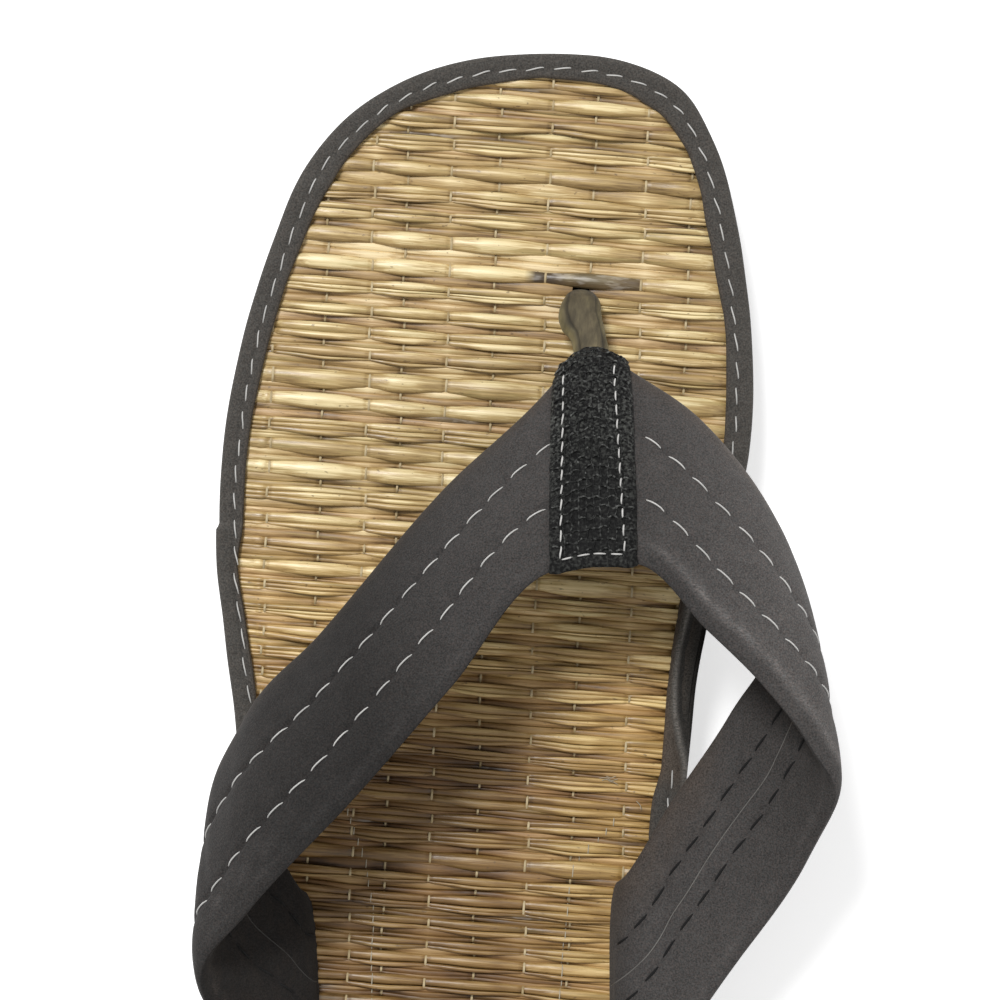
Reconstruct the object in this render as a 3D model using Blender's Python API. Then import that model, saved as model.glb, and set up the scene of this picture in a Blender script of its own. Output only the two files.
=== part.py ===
"""A straw thong sandal for the left foot.

A woven straw footbed, bound with tape at its edge, lies on a wedge midsole and a ribbed outsole.
A padded V strap folds down at each side into a slot in the footbed. A tab wraps the front of the
strap and holds the thong, which goes down between the toes into a hole.

The origin is on the floor under the middle of the heel. +Y points to the toes, +X to the inner
side of the foot and +Z up. Lengths are in metres.
"""

import math

import bmesh
import bpy
import numpy as np

# Plan of the bound edge
LENGTH = 0.2655  # from the back of the heel to the tip of the toe
BALL_WIDTH = 0.098  # across the ball of the foot
HEEL_BACK = 0.034  # from the origin to the back of the heel

# Heights of the sole
FOREFOOT_DECK = 0.016  # top of the straw above the floor, at the ball
HEEL_LIFT = 0.007  # how much higher the straw lies at the heel
TOE_SPRING = 0.005  # how far the tip of the toe is turned up
ARCH_RISE = 0.0015  # how far the underside is raised under the arch
HEEL_BEVEL = 0.002  # how far the back of the heel is turned up
OUTSOLE_THICKNESS = 0.0035
OUTSOLE_INSET = 0.0008  # inside the bound edge
OUTSOLE_CHAMFER = 0.0010
MIDSOLE_INSET = 0.0016
GROOVE_PITCH = 0.008
GROOVE_WIDTH = 0.0026
GROOVE_FLOOR_WIDTH = 0.0014
GROOVE_DEPTH = 0.0013

# Straw footbed and the tape round its edge
FOOTBED_THICKNESS = 0.004
STRAW_RELIEF = 0.0005  # from the top of a stalk to the bottom of the furrow beside it
SUNKEN_RELIEF = 0.0002  # how far every second stalk lies below its neighbours
WIDE_STRAW = 0.0024
NARROW_STRAW = 0.0018
TAPE_THICKNESS = 0.0009
TAPE_FLAP = 0.0054  # how far the tape reaches in over the straw, and under it
TAPE_CORNER = 0.0012

# Strap, its slots and their pockets
STRAP_RISE = 0.036  # highest edge of the strap above the straw
STRAP_THICKNESS = 0.0045
STRAP_CROWN = 0.0025  # how far the middle of the strap stands above its two edges
SLOT_PINCH = 0.8  # the strap's thickness in a slot, as a share of its full thickness
SLOT_SIDE_CLEARANCE = 0.0005
SLOT_END_CLEARANCE = 0.0005
POCKET_BASE = 0.002  # midsole left under a pocket

# Thong and its tab
THONG_WIDTH = 0.0066
THONG_DEPTH = 0.0052
THONG_HOLE_DEPTH = 0.008
THONG_HOLE_CLEARANCE = 0.0003
TAB_THICKNESS = 0.0012

GAP = 0.0003  # between neighbouring pieces

# The bound edge: each row's place from heel to toe, as a share of LENGTH, and how far the edge
# reaches to the lateral and to the medial side there, as shares of BALL_WIDTH
PLAN = (
    # along, lateral, medial
    (0.000, 0.000, 0.000),
    (0.020, -0.193, 0.191),
    (0.060, -0.305, 0.302),
    (0.130, -0.372, 0.358),
    (0.220, -0.408, 0.365),
    (0.330, -0.449, 0.346),
    (0.420, -0.490, 0.334),
    (0.510, -0.531, 0.334),
    (0.580, -0.566, 0.341),
    (0.650, -0.594, 0.367),
    (0.720, -0.597, 0.401),
    (0.790, -0.574, 0.399),
    (0.860, -0.529, 0.366),
    (0.910, -0.478, 0.331),
    (0.950, -0.393, 0.284),
    (0.980, -0.267, 0.224),
    (1.000, 0.036, 0.036),
)
EDGE_STEPS = 50  # points of the plan on each side
PLATE_STEPS = 48  # cuts across the plan of the midsole and of the outsole
SHARP_ANGLE = 40  # degrees between two faces from which their edge is drawn sharp

# Where the side view changes, as shares of LENGTH
WEDGE_BACK = 0.130
WEDGE_FRONT = 0.543
SPRING_BACK = 0.750
ARCH_BACK = 0.260
ARCH_FRONT = 0.500
ARCH_BLEND = 0.100
BEVEL_FRONT = 0.050
HEEL_TREAD = (0.040, 0.260)
FOREFOOT_TREAD = (0.480, 0.920)

# The strap from the lateral slot over the foot to the medial slot. Each row gives the front edge
# and the rear edge, across as a share of BALL_WIDTH, along as a share of LENGTH from the heel and
# up as a share of STRAP_RISE above the straw, then the thickness and the crown as shares.
STRAP = {
    # front: across, along, up; rear: across, along, up; thickness, crown
    "lateral slot": (-0.376, 0.401, 0.000, -0.327, 0.269, 0.000, SLOT_PINCH, 0.0),
    "lateral lip": (-0.383, 0.404, 0.085, -0.336, 0.271, 0.095, SLOT_PINCH, 0.0),
    "lateral low": (-0.420, 0.424, 0.175, -0.388, 0.290, 0.270, 0.95, 0.0),
    "lateral bend": (-0.488, 0.452, 0.275, -0.475, 0.320, 0.502, 1.0, 0.0),
    "lateral fold": (-0.534, 0.480, 0.365, -0.522, 0.359, 0.724, 1.0, 0.3),
    "lateral hip": (-0.491, 0.529, 0.430, -0.460, 0.399, 0.862, 1.0, 0.8),
    "lateral middle": (-0.370, 0.586, 0.472, -0.287, 0.480, 0.985, 1.0, 1.0),
    "lateral inner": (-0.174, 0.686, 0.500, -0.126, 0.560, 1.025, 1.0, 0.9),
    "tab lateral edge": (0.022, 0.769, 0.520, 0.041, 0.642, 1.028, 1.0, 0.5),
    "tab lateral tip": (0.048, 0.784, 0.456, 0.075, 0.646, 1.028, 1.0, 0.4),
    "tip": (0.085, 0.791, 0.413, 0.112, 0.649, 1.028, 1.0, 0.4),
    "tab medial tip": (0.121, 0.788, 0.455, 0.151, 0.650, 1.028, 1.0, 0.4),
    "tab medial edge": (0.153, 0.781, 0.498, 0.184, 0.651, 1.028, 1.0, 0.5),
    "medial inner": (0.292, 0.750, 0.550, 0.323, 0.611, 1.045, 1.0, 0.9),
    "medial middle": (0.405, 0.705, 0.556, 0.438, 0.575, 1.028, 1.0, 1.0),
    "medial hip": (0.472, 0.657, 0.500, 0.528, 0.538, 0.944, 1.0, 0.7),
    "medial fold": (0.497, 0.615, 0.417, 0.568, 0.506, 0.820, 1.0, 0.2),
    "medial bend": (0.470, 0.582, 0.355, 0.546, 0.458, 0.610, 1.0, 0.0),
    "medial low": (0.407, 0.547, 0.288, 0.455, 0.387, 0.400, 1.0, 0.0),
    "medial step": (0.304, 0.486, 0.195, 0.358, 0.324, 0.255, 0.95, 0.0),
    "medial lip": (0.228, 0.430, 0.085, 0.262, 0.276, 0.095, SLOT_PINCH, 0.0),
    "medial slot": (0.219, 0.425, 0.000, 0.252, 0.271, 0.000, SLOT_PINCH, 0.0),
}
STRAP_ROWS = list(STRAP)
STRAP_STEPS = 3  # sections from one row of the table to the next

# The strap's cross-section from its front edge to its rear edge: the place across the strap and
# the half thickness there, as shares
STRAP_SECTION = (
    # across, half thickness
    (0.00, 0.00),
    (0.04, 0.62),
    (0.16, 0.92),
    (0.38, 1.00),
    (0.62, 1.00),
    (0.84, 0.92),
    (0.96, 0.62),
    (1.00, 0.00),
)
TAB_UNDER_POINTS = 2  # points of the section that the tab covers under the strap's front edge

# The thong's way from the bottom of its hole to the underside of the strap
THONG_HOLE = (0.059, 0.829)  # across as a share of BALL_WIDTH, along as a share of LENGTH
THONG_RISE = 0.004  # height above the straw at which the thong starts to lean back
THONG_LEAN = 0.0014
THONG_REACH = (0.05, 0.22)  # where it lies under the strap, as shares of the strap's width
THONG_FLARE = 1.12  # its size at the hole, as a share of its size at the strap
THONG_SIDES = 12
THONG_STEPS = 10


def smooth(keys, rows, at):
    """The rows of a table, read at any place between its keys on one smooth curve."""
    keys = np.asarray(keys, float)
    rows = np.asarray(rows, float)
    slopes = np.gradient(rows, keys, axis=0)
    start = np.clip(np.searchsorted(keys, at, side="right") - 1, 0, len(keys) - 2)
    span = (keys[start + 1] - keys[start])[:, None]
    share = (np.asarray(at)[:, None] - keys[start][:, None]) / span
    rest = 1 - share
    return (
        rows[start] * (1 + 2 * share) * rest**2
        + rows[start + 1] * (1 + 2 * rest) * share**2
        + slopes[start] * span * share * rest**2
        - slopes[start + 1] * span * rest * share**2
    )


def ease(share):
    """0 to 1 with a soft start and end."""
    share = np.clip(share, 0, 1)
    return share * share * (3 - 2 * share)


def along(y):
    return (y + HEEL_BACK) / LENGTH


def spring(y):
    """How far the sole is turned up towards the toe."""
    return TOE_SPRING * np.clip((along(y) - SPRING_BACK) / (1 - SPRING_BACK), 0, 1) ** 2


def tread(y):
    """Height of the outsole's underside between its grooves."""
    share = along(y)
    arch = ease((share - ARCH_BACK) / ARCH_BLEND) * ease((ARCH_FRONT - share) / ARCH_BLEND)
    bevel = ease((BEVEL_FRONT - share) / BEVEL_FRONT)
    return spring(y) + ARCH_RISE * arch + HEEL_BEVEL * bevel


def deck(y):
    """Height of the straw's top."""
    wedge = ease((WEDGE_FRONT - along(y)) / (WEDGE_FRONT - WEDGE_BACK))
    return FOREFOOT_DECK + HEEL_LIFT * wedge + spring(y)


def plan_loop(inset):
    """The bound edge as one closed loop, moved inwards: medial side first, from heel to toe."""
    turn = np.linspace(0, math.pi, EDGE_STEPS + 1)
    table = np.array(PLAN)
    across = BALL_WIDTH * smooth(np.arccos(1 - 2 * table[:, 0]), table[:, 1:], turn)
    y = LENGTH * (1 - np.cos(turn)) / 2 - HEEL_BACK
    medial = np.column_stack([across[:, 1], y])
    lateral = np.column_stack([across[:, 0], y])
    loop = np.concatenate([medial, lateral[-2:0:-1]])
    side = np.roll(loop, -1, axis=0) - loop
    side /= np.linalg.norm(side, axis=1)[:, None]
    after = np.column_stack([-side[:, 1], side[:, 0]])
    before = np.roll(after, 1, axis=0)
    mitre = 1 + np.sum(before * after, axis=1)[:, None]
    return loop + inset * (before + after) / mitre


def plan_edges(inset, shares):
    """The medial and the lateral edge where the plan is cut across, at shares of its length."""
    loop = plan_loop(inset)
    medial = loop[: EDGE_STEPS + 1]
    lateral = np.concatenate([loop[EDGE_STEPS:], loop[:1]])[::-1]
    y = medial[0, 1] + (medial[-1, 1] - medial[0, 1]) * np.asarray(shares)
    medial_x = np.interp(y, medial[:, 1], medial[:, 0])
    lateral_x = np.interp(y, lateral[:, 1], lateral[:, 0])
    return np.column_stack([medial_x, y]), np.column_stack([lateral_x, y])


def plain_shares(steps):
    """Cuts across the plan, closer together towards heel and toe."""
    return (1 - np.cos(np.linspace(0, math.pi, steps + 1))) / 2


def material(name, colour, roughness):
    made = bpy.data.materials.new(name)
    made.use_nodes = True
    shader = made.node_tree.nodes["Principled BSDF"]
    shader.inputs["Base Color"].default_value = (*colour, 1)
    shader.inputs["Roughness"].default_value = roughness
    shader.inputs["Metallic"].default_value = 0.0
    made.diffuse_color = (*colour, 1)
    return made


def solid(name, points, faces, look):
    """A closed mesh object in the scene, with its faces turned outwards."""
    mesh = bpy.data.meshes.new(name)
    mesh.from_pydata([tuple(point) for point in points], [], faces)
    build = bmesh.new()
    build.from_mesh(mesh)
    bmesh.ops.recalc_face_normals(build, faces=build.faces)
    build.to_mesh(mesh)
    build.free()
    if look:
        mesh.materials.append(look)
        mesh.shade_smooth()
        mesh.set_sharp_from_angle(angle=math.radians(SHARP_ANGLE))
    made = bpy.data.objects.new(name, mesh)
    bpy.context.scene.collection.objects.link(made)
    return made


def ring_faces(rings, size, closed):
    """Quads between neighbouring rings of equal size, and from the last to the first if closed."""
    faces = []
    for ring in range(rings if closed else rings - 1):
        here = ring * size
        there = (ring + 1) % rings * size
        for point in range(size):
            after = (point + 1) % size
            faces.append((here + point, here + after, there + after, there + point))
    return faces


def cap_faces(first, size):
    """A ring of the plan closed by strips that run across it."""
    last = size - 1
    faces = [(first, first + 1, first + last)]
    half = size // 2
    for step in range(1, half - 1):
        lateral = first + size - step
        faces.append((first + step, first + step + 1, lateral - 1, lateral))
    faces.append((first + half - 1, first + half, first + half + 1))
    return faces


def plate(name, shares, rings, look):
    """A slab with the sandal's plan. Each ring is an inset, a height function and a relief."""
    points = []
    size = 2 * len(shares) - 2
    for inset, height, relief in rings:
        medial, lateral = plan_edges(inset, shares)
        plan = np.concatenate([medial, lateral[-2:0:-1]])
        lift = np.broadcast_to(relief, len(shares))
        lift = np.concatenate([lift, lift[-2:0:-1]])
        points.extend(np.column_stack([plan, height(plan[:, 1]) + lift]))
    faces = ring_faces(len(rings), size, closed=False)
    faces += cap_faces(0, size)
    faces += cap_faces((len(rings) - 1) * size, size)
    return solid(name, points, faces, look)


def tube(name, sections, look, closed=False):
    """A skin through equal cross-sections, with an end face at both ends unless it is closed."""
    size = len(sections[0])
    faces = ring_faces(len(sections), size, closed)
    if not closed:
        last = (len(sections) - 1) * size
        faces.append(tuple(range(size)))
        faces.append(tuple(range(last, last + size)))
    return solid(name, np.concatenate(sections), faces, look)


def cutter(name, points, faces):
    made = solid(name, points, faces, look=None)
    made.hide_render = True
    made.display_type = "WIRE"
    return made


def cut(target, tool):
    change = target.modifiers.new(tool.name, "BOOLEAN")
    change.operation = "DIFFERENCE"
    change.solver = "EXACT"
    change.object = tool


def groove_centres():
    """Where the grooves cross the sole: halfway between ribs, one rib lying under the origin."""
    centres = []
    for low, high in (HEEL_TREAD, FOREFOOT_TREAD):
        first = math.ceil((low * LENGTH - HEEL_BACK) / GROOVE_PITCH - 0.5)
        last = math.floor((high * LENGTH - HEEL_BACK) / GROOVE_PITCH - 0.5)
        centres.extend((number + 0.5) * GROOVE_PITCH for number in range(first, last + 1))
    return centres


def make_outsole():
    bottom_inset = OUTSOLE_INSET + OUTSOLE_CHAMFER
    span = LENGTH - 2 * bottom_inset
    back = bottom_inset - HEEL_BACK
    profile = ((GROOVE_WIDTH, 0), (GROOVE_FLOOR_WIDTH, GROOVE_DEPTH))
    cuts = []
    for centre in groove_centres():
        for width, depth in profile:
            cuts.append(((centre - width / 2 - back) / span, depth))
            cuts.append(((centre + width / 2 - back) / span, depth))
    clear = GROOVE_WIDTH / span
    between = [
        (share, 0)
        for share in plain_shares(PLATE_STEPS)
        if all(abs(share - placed) > clear for placed, _ in cuts)
    ]
    shares, relief = np.array(sorted(cuts + between)).T
    rings = (
        (bottom_inset, tread, relief),
        (OUTSOLE_INSET, lambda y: tread(y) + GROOVE_DEPTH + OUTSOLE_CHAMFER / 2, 0),
        (OUTSOLE_INSET, lambda y: tread(y) + OUTSOLE_THICKNESS, 0),
    )
    look = material("outsole_rubber", (0.035, 0.034, 0.033), 0.75)
    return plate("outsole", shares, rings, look)


def make_midsole():
    def base(y):
        return tread(y) + OUTSOLE_THICKNESS + GAP

    def seat(y):
        return deck(y) - FOOTBED_THICKNESS - GAP

    def rebate(y):
        return seat(y) - TAPE_THICKNESS - GAP

    rings = (
        (MIDSOLE_INSET, base, 0),
        (MIDSOLE_INSET, rebate, 0),
        (TAPE_FLAP + GAP, rebate, 0),
        (TAPE_FLAP + GAP, seat, 0),
    )
    look = material("midsole_foam", (0.062, 0.060, 0.057), 0.8)
    return plate("midsole", plain_shares(PLATE_STEPS), rings, look)


def make_footbed():
    """Stalks lie side by side across the foot, every second one narrower and sunken."""
    edge_inset = TAPE_THICKNESS + GAP
    span = LENGTH - 2 * edge_inset
    pairs = round(span / (WIDE_STRAW + NARROW_STRAW))
    narrow_share = NARROW_STRAW / (WIDE_STRAW + NARROW_STRAW)
    cuts = []
    for pair in range(pairs):
        for place, relief in (
            (0, STRAW_RELIEF),
            (narrow_share / 2, SUNKEN_RELIEF),
            (narrow_share, STRAW_RELIEF),
            ((1 + narrow_share) / 2, 0),
        ):
            cuts.append(((pair + place) / pairs, -relief))
    cuts.append((1, -STRAW_RELIEF))
    shares, relief = np.array(cuts).T
    rings = (
        (edge_inset, lambda y: deck(y) - FOOTBED_THICKNESS, 0),
        (edge_inset, deck, relief),
    )
    look = material("woven_straw", (0.50, 0.36, 0.18), 0.5)
    return plate("straw_footbed", shares, rings, look)


def make_binding():
    """Tape folded round the edge of the straw, a flap above it and a flap below."""

    def above(y):
        return deck(y) + GAP

    def below(y):
        return deck(y) - FOOTBED_THICKNESS - GAP

    corner = TAPE_CORNER
    cut_off = corner * (1 - math.sqrt(0.5))
    top = TAPE_THICKNESS
    profile = (
        (TAPE_THICKNESS, above, 0),
        (TAPE_FLAP, above, 0),
        (TAPE_FLAP, above, top),
        (corner, above, top),
        (cut_off, above, top - cut_off),
        (0, above, top - corner),
        (0, below, corner - top),
        (cut_off, below, cut_off - top),
        (corner, below, -top),
        (TAPE_FLAP, below, -top),
        (TAPE_FLAP, below, 0),
        (TAPE_THICKNESS, below, 0),
    )
    rings = []
    for inset, height, lift in profile:
        loop = plan_loop(inset)
        rings.append(np.column_stack([loop, height(loop[:, 1]) + lift]))
    look = material("binding_microfibre", (0.095, 0.089, 0.080), 0.85)
    return tube("edge_binding", rings, look, closed=True)


def pocket_floor():
    return ARCH_RISE + OUTSOLE_THICKNESS + GAP + POCKET_BASE


def strap_frames():
    """Each section of the strap: front point, rear point, outward normal, thickness and crown."""
    table = np.array([STRAP[name] for name in STRAP_ROWS])
    scale = np.array([BALL_WIDTH, LENGTH, STRAP_RISE])
    rows = np.empty_like(table)
    for first in (0, 3):
        edge = table[:, first : first + 3] * scale
        edge[:, 1] -= HEEL_BACK
        edge[:, 2] += deck(edge[:, 1])
        rows[:, first : first + 3] = edge
    rows[:, 6] = table[:, 6] * STRAP_THICKNESS
    rows[:, 7] = table[:, 7] * STRAP_CROWN
    middle = (rows[:, 0:3] + rows[:, 3:6]) / 2
    steps = np.linalg.norm(np.diff(middle, axis=0), axis=1)
    keys = np.concatenate([[0], np.cumsum(steps)])
    places = np.arange((len(rows) - 1) * STRAP_STEPS + 1) / STRAP_STEPS
    at = np.interp(places, np.arange(len(rows)), keys)
    read = smooth(keys, rows, at)
    ends = read[[0, -1]].copy()
    ends[:, [2, 5]] = pocket_floor() + GAP
    read = np.concatenate([ends[:1], read, ends[1:]])
    front, rear = read[:, 0:3], read[:, 3:6]
    travel = np.gradient((front + rear) / 2, axis=0)
    travel[:2] = (0, 0, 1)
    travel[-2:] = (0, 0, -1)
    normal = np.cross(rear - front, travel)
    normal /= np.linalg.norm(normal, axis=1)[:, None]
    return front, rear, normal, read[:, 6], read[:, 7]


def strap_station(name):
    """The number of a table row's section, the pocket's own section being the first."""
    return 1 + STRAP_ROWS.index(name) * STRAP_STEPS


def strap_outline(width, thickness, crown):
    """The strap's cross-section in its own plane, over the top to the rear edge and back."""
    across, half = np.array(STRAP_SECTION).T
    arch = crown * 4 * across * (1 - across)
    top = np.column_stack([across * width, arch + half * thickness / 2])
    under = np.column_stack([across * width, arch - half * thickness / 2])
    return np.concatenate([top, under[-2:0:-1]])


def grow(outline, distance):
    """A closed outline in a plane moved outwards, corner by corner."""
    side = np.roll(outline, -1, axis=0) - outline
    side /= np.linalg.norm(side, axis=1)[:, None]
    after = np.column_stack([-side[:, 1], side[:, 0]])
    before = np.roll(after, 1, axis=0)
    mitre = 1 + np.sum(before * after, axis=1)[:, None]
    return outline + distance * (before + after) / mitre


def in_space(front, rear, normal, outline):
    """Points of a cross-section's plane put in place between the strap's two edges."""
    across = (rear - front) / np.linalg.norm(rear - front)
    return front + outline[:, :1] * across + outline[:, 1:] * normal


def make_strap(frames):
    sections = []
    for front, rear, normal, thickness, crown in zip(*frames):
        outline = strap_outline(np.linalg.norm(rear - front), thickness, crown)
        sections.append(in_space(front, rear, normal, outline))
    look = material("strap_microfibre", (0.084, 0.080, 0.076), 0.85)
    return tube("v_strap", sections, look)


def make_tab(frames):
    """A wrap round the strap's front edge: over its top to the rear edge, and a little way under."""
    first = strap_station("tab lateral edge")
    last = strap_station("tab medial edge")
    over = list(range(len(STRAP_SECTION) - 1, -1, -1))
    under = [-1 - number for number in range(TAB_UNDER_POINTS)]
    covered = over + under
    sections = []
    for station in range(first, last + 1):
        front, rear, normal, thickness, crown = (column[station] for column in frames)
        outline = strap_outline(np.linalg.norm(rear - front), thickness, crown)
        inner = grow(outline, GAP)[covered]
        outer = grow(outline, GAP + TAB_THICKNESS)[covered]
        sections.append(in_space(front, rear, normal, np.concatenate([outer, inner[::-1]])))
    look = material("tab_mesh_fabric", (0.024, 0.025, 0.023), 0.9)
    return tube("thong_tab", sections, look)


def thong_foot():
    """The middle of the thong's hole in plan."""
    return THONG_HOLE[0] * BALL_WIDTH, THONG_HOLE[1] * LENGTH - HEEL_BACK


def hole_floor():
    return deck(thong_foot()[1]) - THONG_HOLE_DEPTH


def thong_route(frames):
    """Points of the thong's middle line, from the floor of its hole to its end under the tab."""
    x, y = thong_foot()
    top = deck(y)
    front, rear, normal, thickness, crown = (column[strap_station("tip")] for column in frames)
    width = np.linalg.norm(rear - front)
    across = (rear - front) / width
    route = [(x, y, hole_floor() + GAP), (x, y, top), (x, y - THONG_LEAN, top + THONG_RISE)]
    shares, halves = np.array(STRAP_SECTION).T
    for share in THONG_REACH:
        half = np.interp(share, shares, halves) * thickness / 2
        drop = half + GAP + TAB_THICKNESS + GAP + THONG_DEPTH / 2
        arch = crown * 4 * share * (1 - share)
        route.append(front + across * width * share + normal * (arch - drop))
    return np.array(route)


def make_thong(frames):
    route = thong_route(frames)
    steps = np.linalg.norm(np.diff(route, axis=0), axis=1)
    keys = np.concatenate([[0], np.cumsum(steps)])
    at = np.linspace(0, keys[-1], THONG_STEPS + 1)
    middle = smooth(keys, route, at)
    travel = np.gradient(middle, axis=0)
    travel /= np.linalg.norm(travel, axis=1)[:, None]
    travel[:2] = (0, 0, 1)
    sideways = np.array((1.0, 0.0, 0.0))
    angles = 2 * math.pi * np.arange(THONG_SIDES) / THONG_SIDES
    sections = []
    for place, point, forward in zip(at / keys[-1], middle, travel):
        wide = sideways - forward * np.dot(sideways, forward)
        wide /= np.linalg.norm(wide)
        deep = np.cross(forward, wide)
        size = THONG_FLARE + (1 - THONG_FLARE) * ease(place)
        across = THONG_WIDTH / 2 * size * np.cos(angles)[:, None]
        through = THONG_DEPTH / 2 * size * np.sin(angles)[:, None]
        sections.append(point + across * wide + through * deep)
    look = material("thong_suede", (0.160, 0.135, 0.090), 0.9)
    return tube("toe_thong", sections, look)


def slot_cutter(name, row):
    """A slot through the straw with a blind pocket below it, standing upright."""
    front, rear = np.reshape(STRAP[row][:6], (2, 3))[:, :2] * (BALL_WIDTH, LENGTH)
    run = (rear - front) / np.linalg.norm(rear - front)
    beside = np.array((-run[1], run[0]))
    half = STRAP_THICKNESS * SLOT_PINCH / 2 + SLOT_SIDE_CLEARANCE
    corners = []
    for end, way in ((front, -1), (rear, 1)):
        for side in (way, -way):
            corners.append(end + run * way * SLOT_END_CLEARANCE + beside * half * side)
    top = FOREFOOT_DECK + HEEL_LIFT + FOOTBED_THICKNESS
    points = []
    for height in (pocket_floor(), top):
        points.extend((x, y - HEEL_BACK, height) for x, y in corners)
    faces = ring_faces(2, 4, closed=False) + [(0, 1, 2, 3), (4, 5, 6, 7)]
    return cutter(name, points, faces)


def hole_cutter(name):
    x, y = thong_foot()
    wide = THONG_WIDTH * THONG_FLARE / 2 + THONG_HOLE_CLEARANCE
    deep = THONG_DEPTH * THONG_FLARE / 2 + THONG_HOLE_CLEARANCE
    angles = 2 * math.pi * np.arange(THONG_SIDES) / THONG_SIDES
    points = []
    for height in (hole_floor(), deck(y) + FOOTBED_THICKNESS):
        points.extend((x + wide * math.cos(a), y + deep * math.sin(a), height) for a in angles)
    ends = [tuple(range(THONG_SIDES)), tuple(range(THONG_SIDES, 2 * THONG_SIDES))]
    return cutter(name, points, ring_faces(2, THONG_SIDES, closed=False) + ends)


def main():
    for old in list(bpy.data.objects):
        bpy.data.objects.remove(old)
    make_outsole()
    midsole = make_midsole()
    footbed = make_footbed()
    make_binding()
    frames = strap_frames()
    make_strap(frames)
    make_tab(frames)
    make_thong(frames)
    tools = (
        slot_cutter("lateral_slot_cutter", "lateral slot"),
        slot_cutter("medial_slot_cutter", "medial slot"),
        hole_cutter("thong_hole_cutter"),
    )
    for target in (midsole, footbed):
        for tool in tools:
            cut(target, tool)


main()
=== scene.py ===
"""Looks of the left straw sandal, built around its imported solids.

The straw mat, the tape round its edge, the V strap, the tab and the thong are modelled again at
full detail in the places that their solids hold. The midsole and the outsole keep their solids.
The frame is that of the solids: metres, +Y to the toes, +X to the inner side of the foot, +Z up.
"""

import math

import bpy
import numpy as np
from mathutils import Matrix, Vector


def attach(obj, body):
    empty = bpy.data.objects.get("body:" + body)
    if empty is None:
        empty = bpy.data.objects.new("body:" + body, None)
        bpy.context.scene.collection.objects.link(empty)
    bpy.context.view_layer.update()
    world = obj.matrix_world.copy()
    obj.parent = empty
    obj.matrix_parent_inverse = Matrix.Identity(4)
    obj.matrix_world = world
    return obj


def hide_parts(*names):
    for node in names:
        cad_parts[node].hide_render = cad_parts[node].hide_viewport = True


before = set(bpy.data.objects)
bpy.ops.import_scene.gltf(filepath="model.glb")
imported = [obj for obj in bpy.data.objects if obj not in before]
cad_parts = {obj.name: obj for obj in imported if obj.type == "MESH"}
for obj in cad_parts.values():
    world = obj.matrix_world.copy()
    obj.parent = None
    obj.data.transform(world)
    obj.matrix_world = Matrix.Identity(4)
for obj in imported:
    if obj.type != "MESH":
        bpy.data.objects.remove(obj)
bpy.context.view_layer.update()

# Sizes shared with the solids
LENGTH = 0.2655
BALL_WIDTH = 0.098
HEEL_BACK = 0.034
FOREFOOT_DECK = 0.016
HEEL_LIFT = 0.007
TOE_SPRING = 0.005
WEDGE_BACK = 0.130
WEDGE_FRONT = 0.543
SPRING_BACK = 0.750
FOOTBED_THICKNESS = 0.004
TAPE_THICKNESS = 0.0009
TAPE_FLAP = 0.0054
TAPE_CORNER = 0.0012
STRAP_RISE = 0.036
STRAP_THICKNESS = 0.0045
STRAP_CROWN = 0.0025
SLOT_PINCH = 0.8
POCKET_FLOOR = 0.0075
THONG_WIDTH = 0.0066
THONG_DEPTH = 0.0052
THONG_HOLE = (0.059, 0.829)
HOLE_PLACE = (THONG_HOLE[0] * BALL_WIDTH, THONG_HOLE[1] * LENGTH - HEEL_BACK)
GAP = 0.0003  # left between pieces that touch

# The bound edge: place from heel to toe as a share of LENGTH, and its reach to the lateral and to
# the medial side as shares of BALL_WIDTH
PLAN = (
    # along, lateral, medial
    (0.000, 0.000, 0.000),
    (0.020, -0.193, 0.191),
    (0.060, -0.305, 0.302),
    (0.130, -0.372, 0.358),
    (0.220, -0.408, 0.365),
    (0.330, -0.449, 0.346),
    (0.420, -0.490, 0.334),
    (0.510, -0.531, 0.334),
    (0.580, -0.566, 0.341),
    (0.650, -0.594, 0.367),
    (0.720, -0.597, 0.401),
    (0.790, -0.574, 0.399),
    (0.860, -0.529, 0.366),
    (0.910, -0.478, 0.331),
    (0.950, -0.393, 0.284),
    (0.980, -0.267, 0.224),
    (1.000, 0.036, 0.036),
)
PLAN_STEPS = 600

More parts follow.
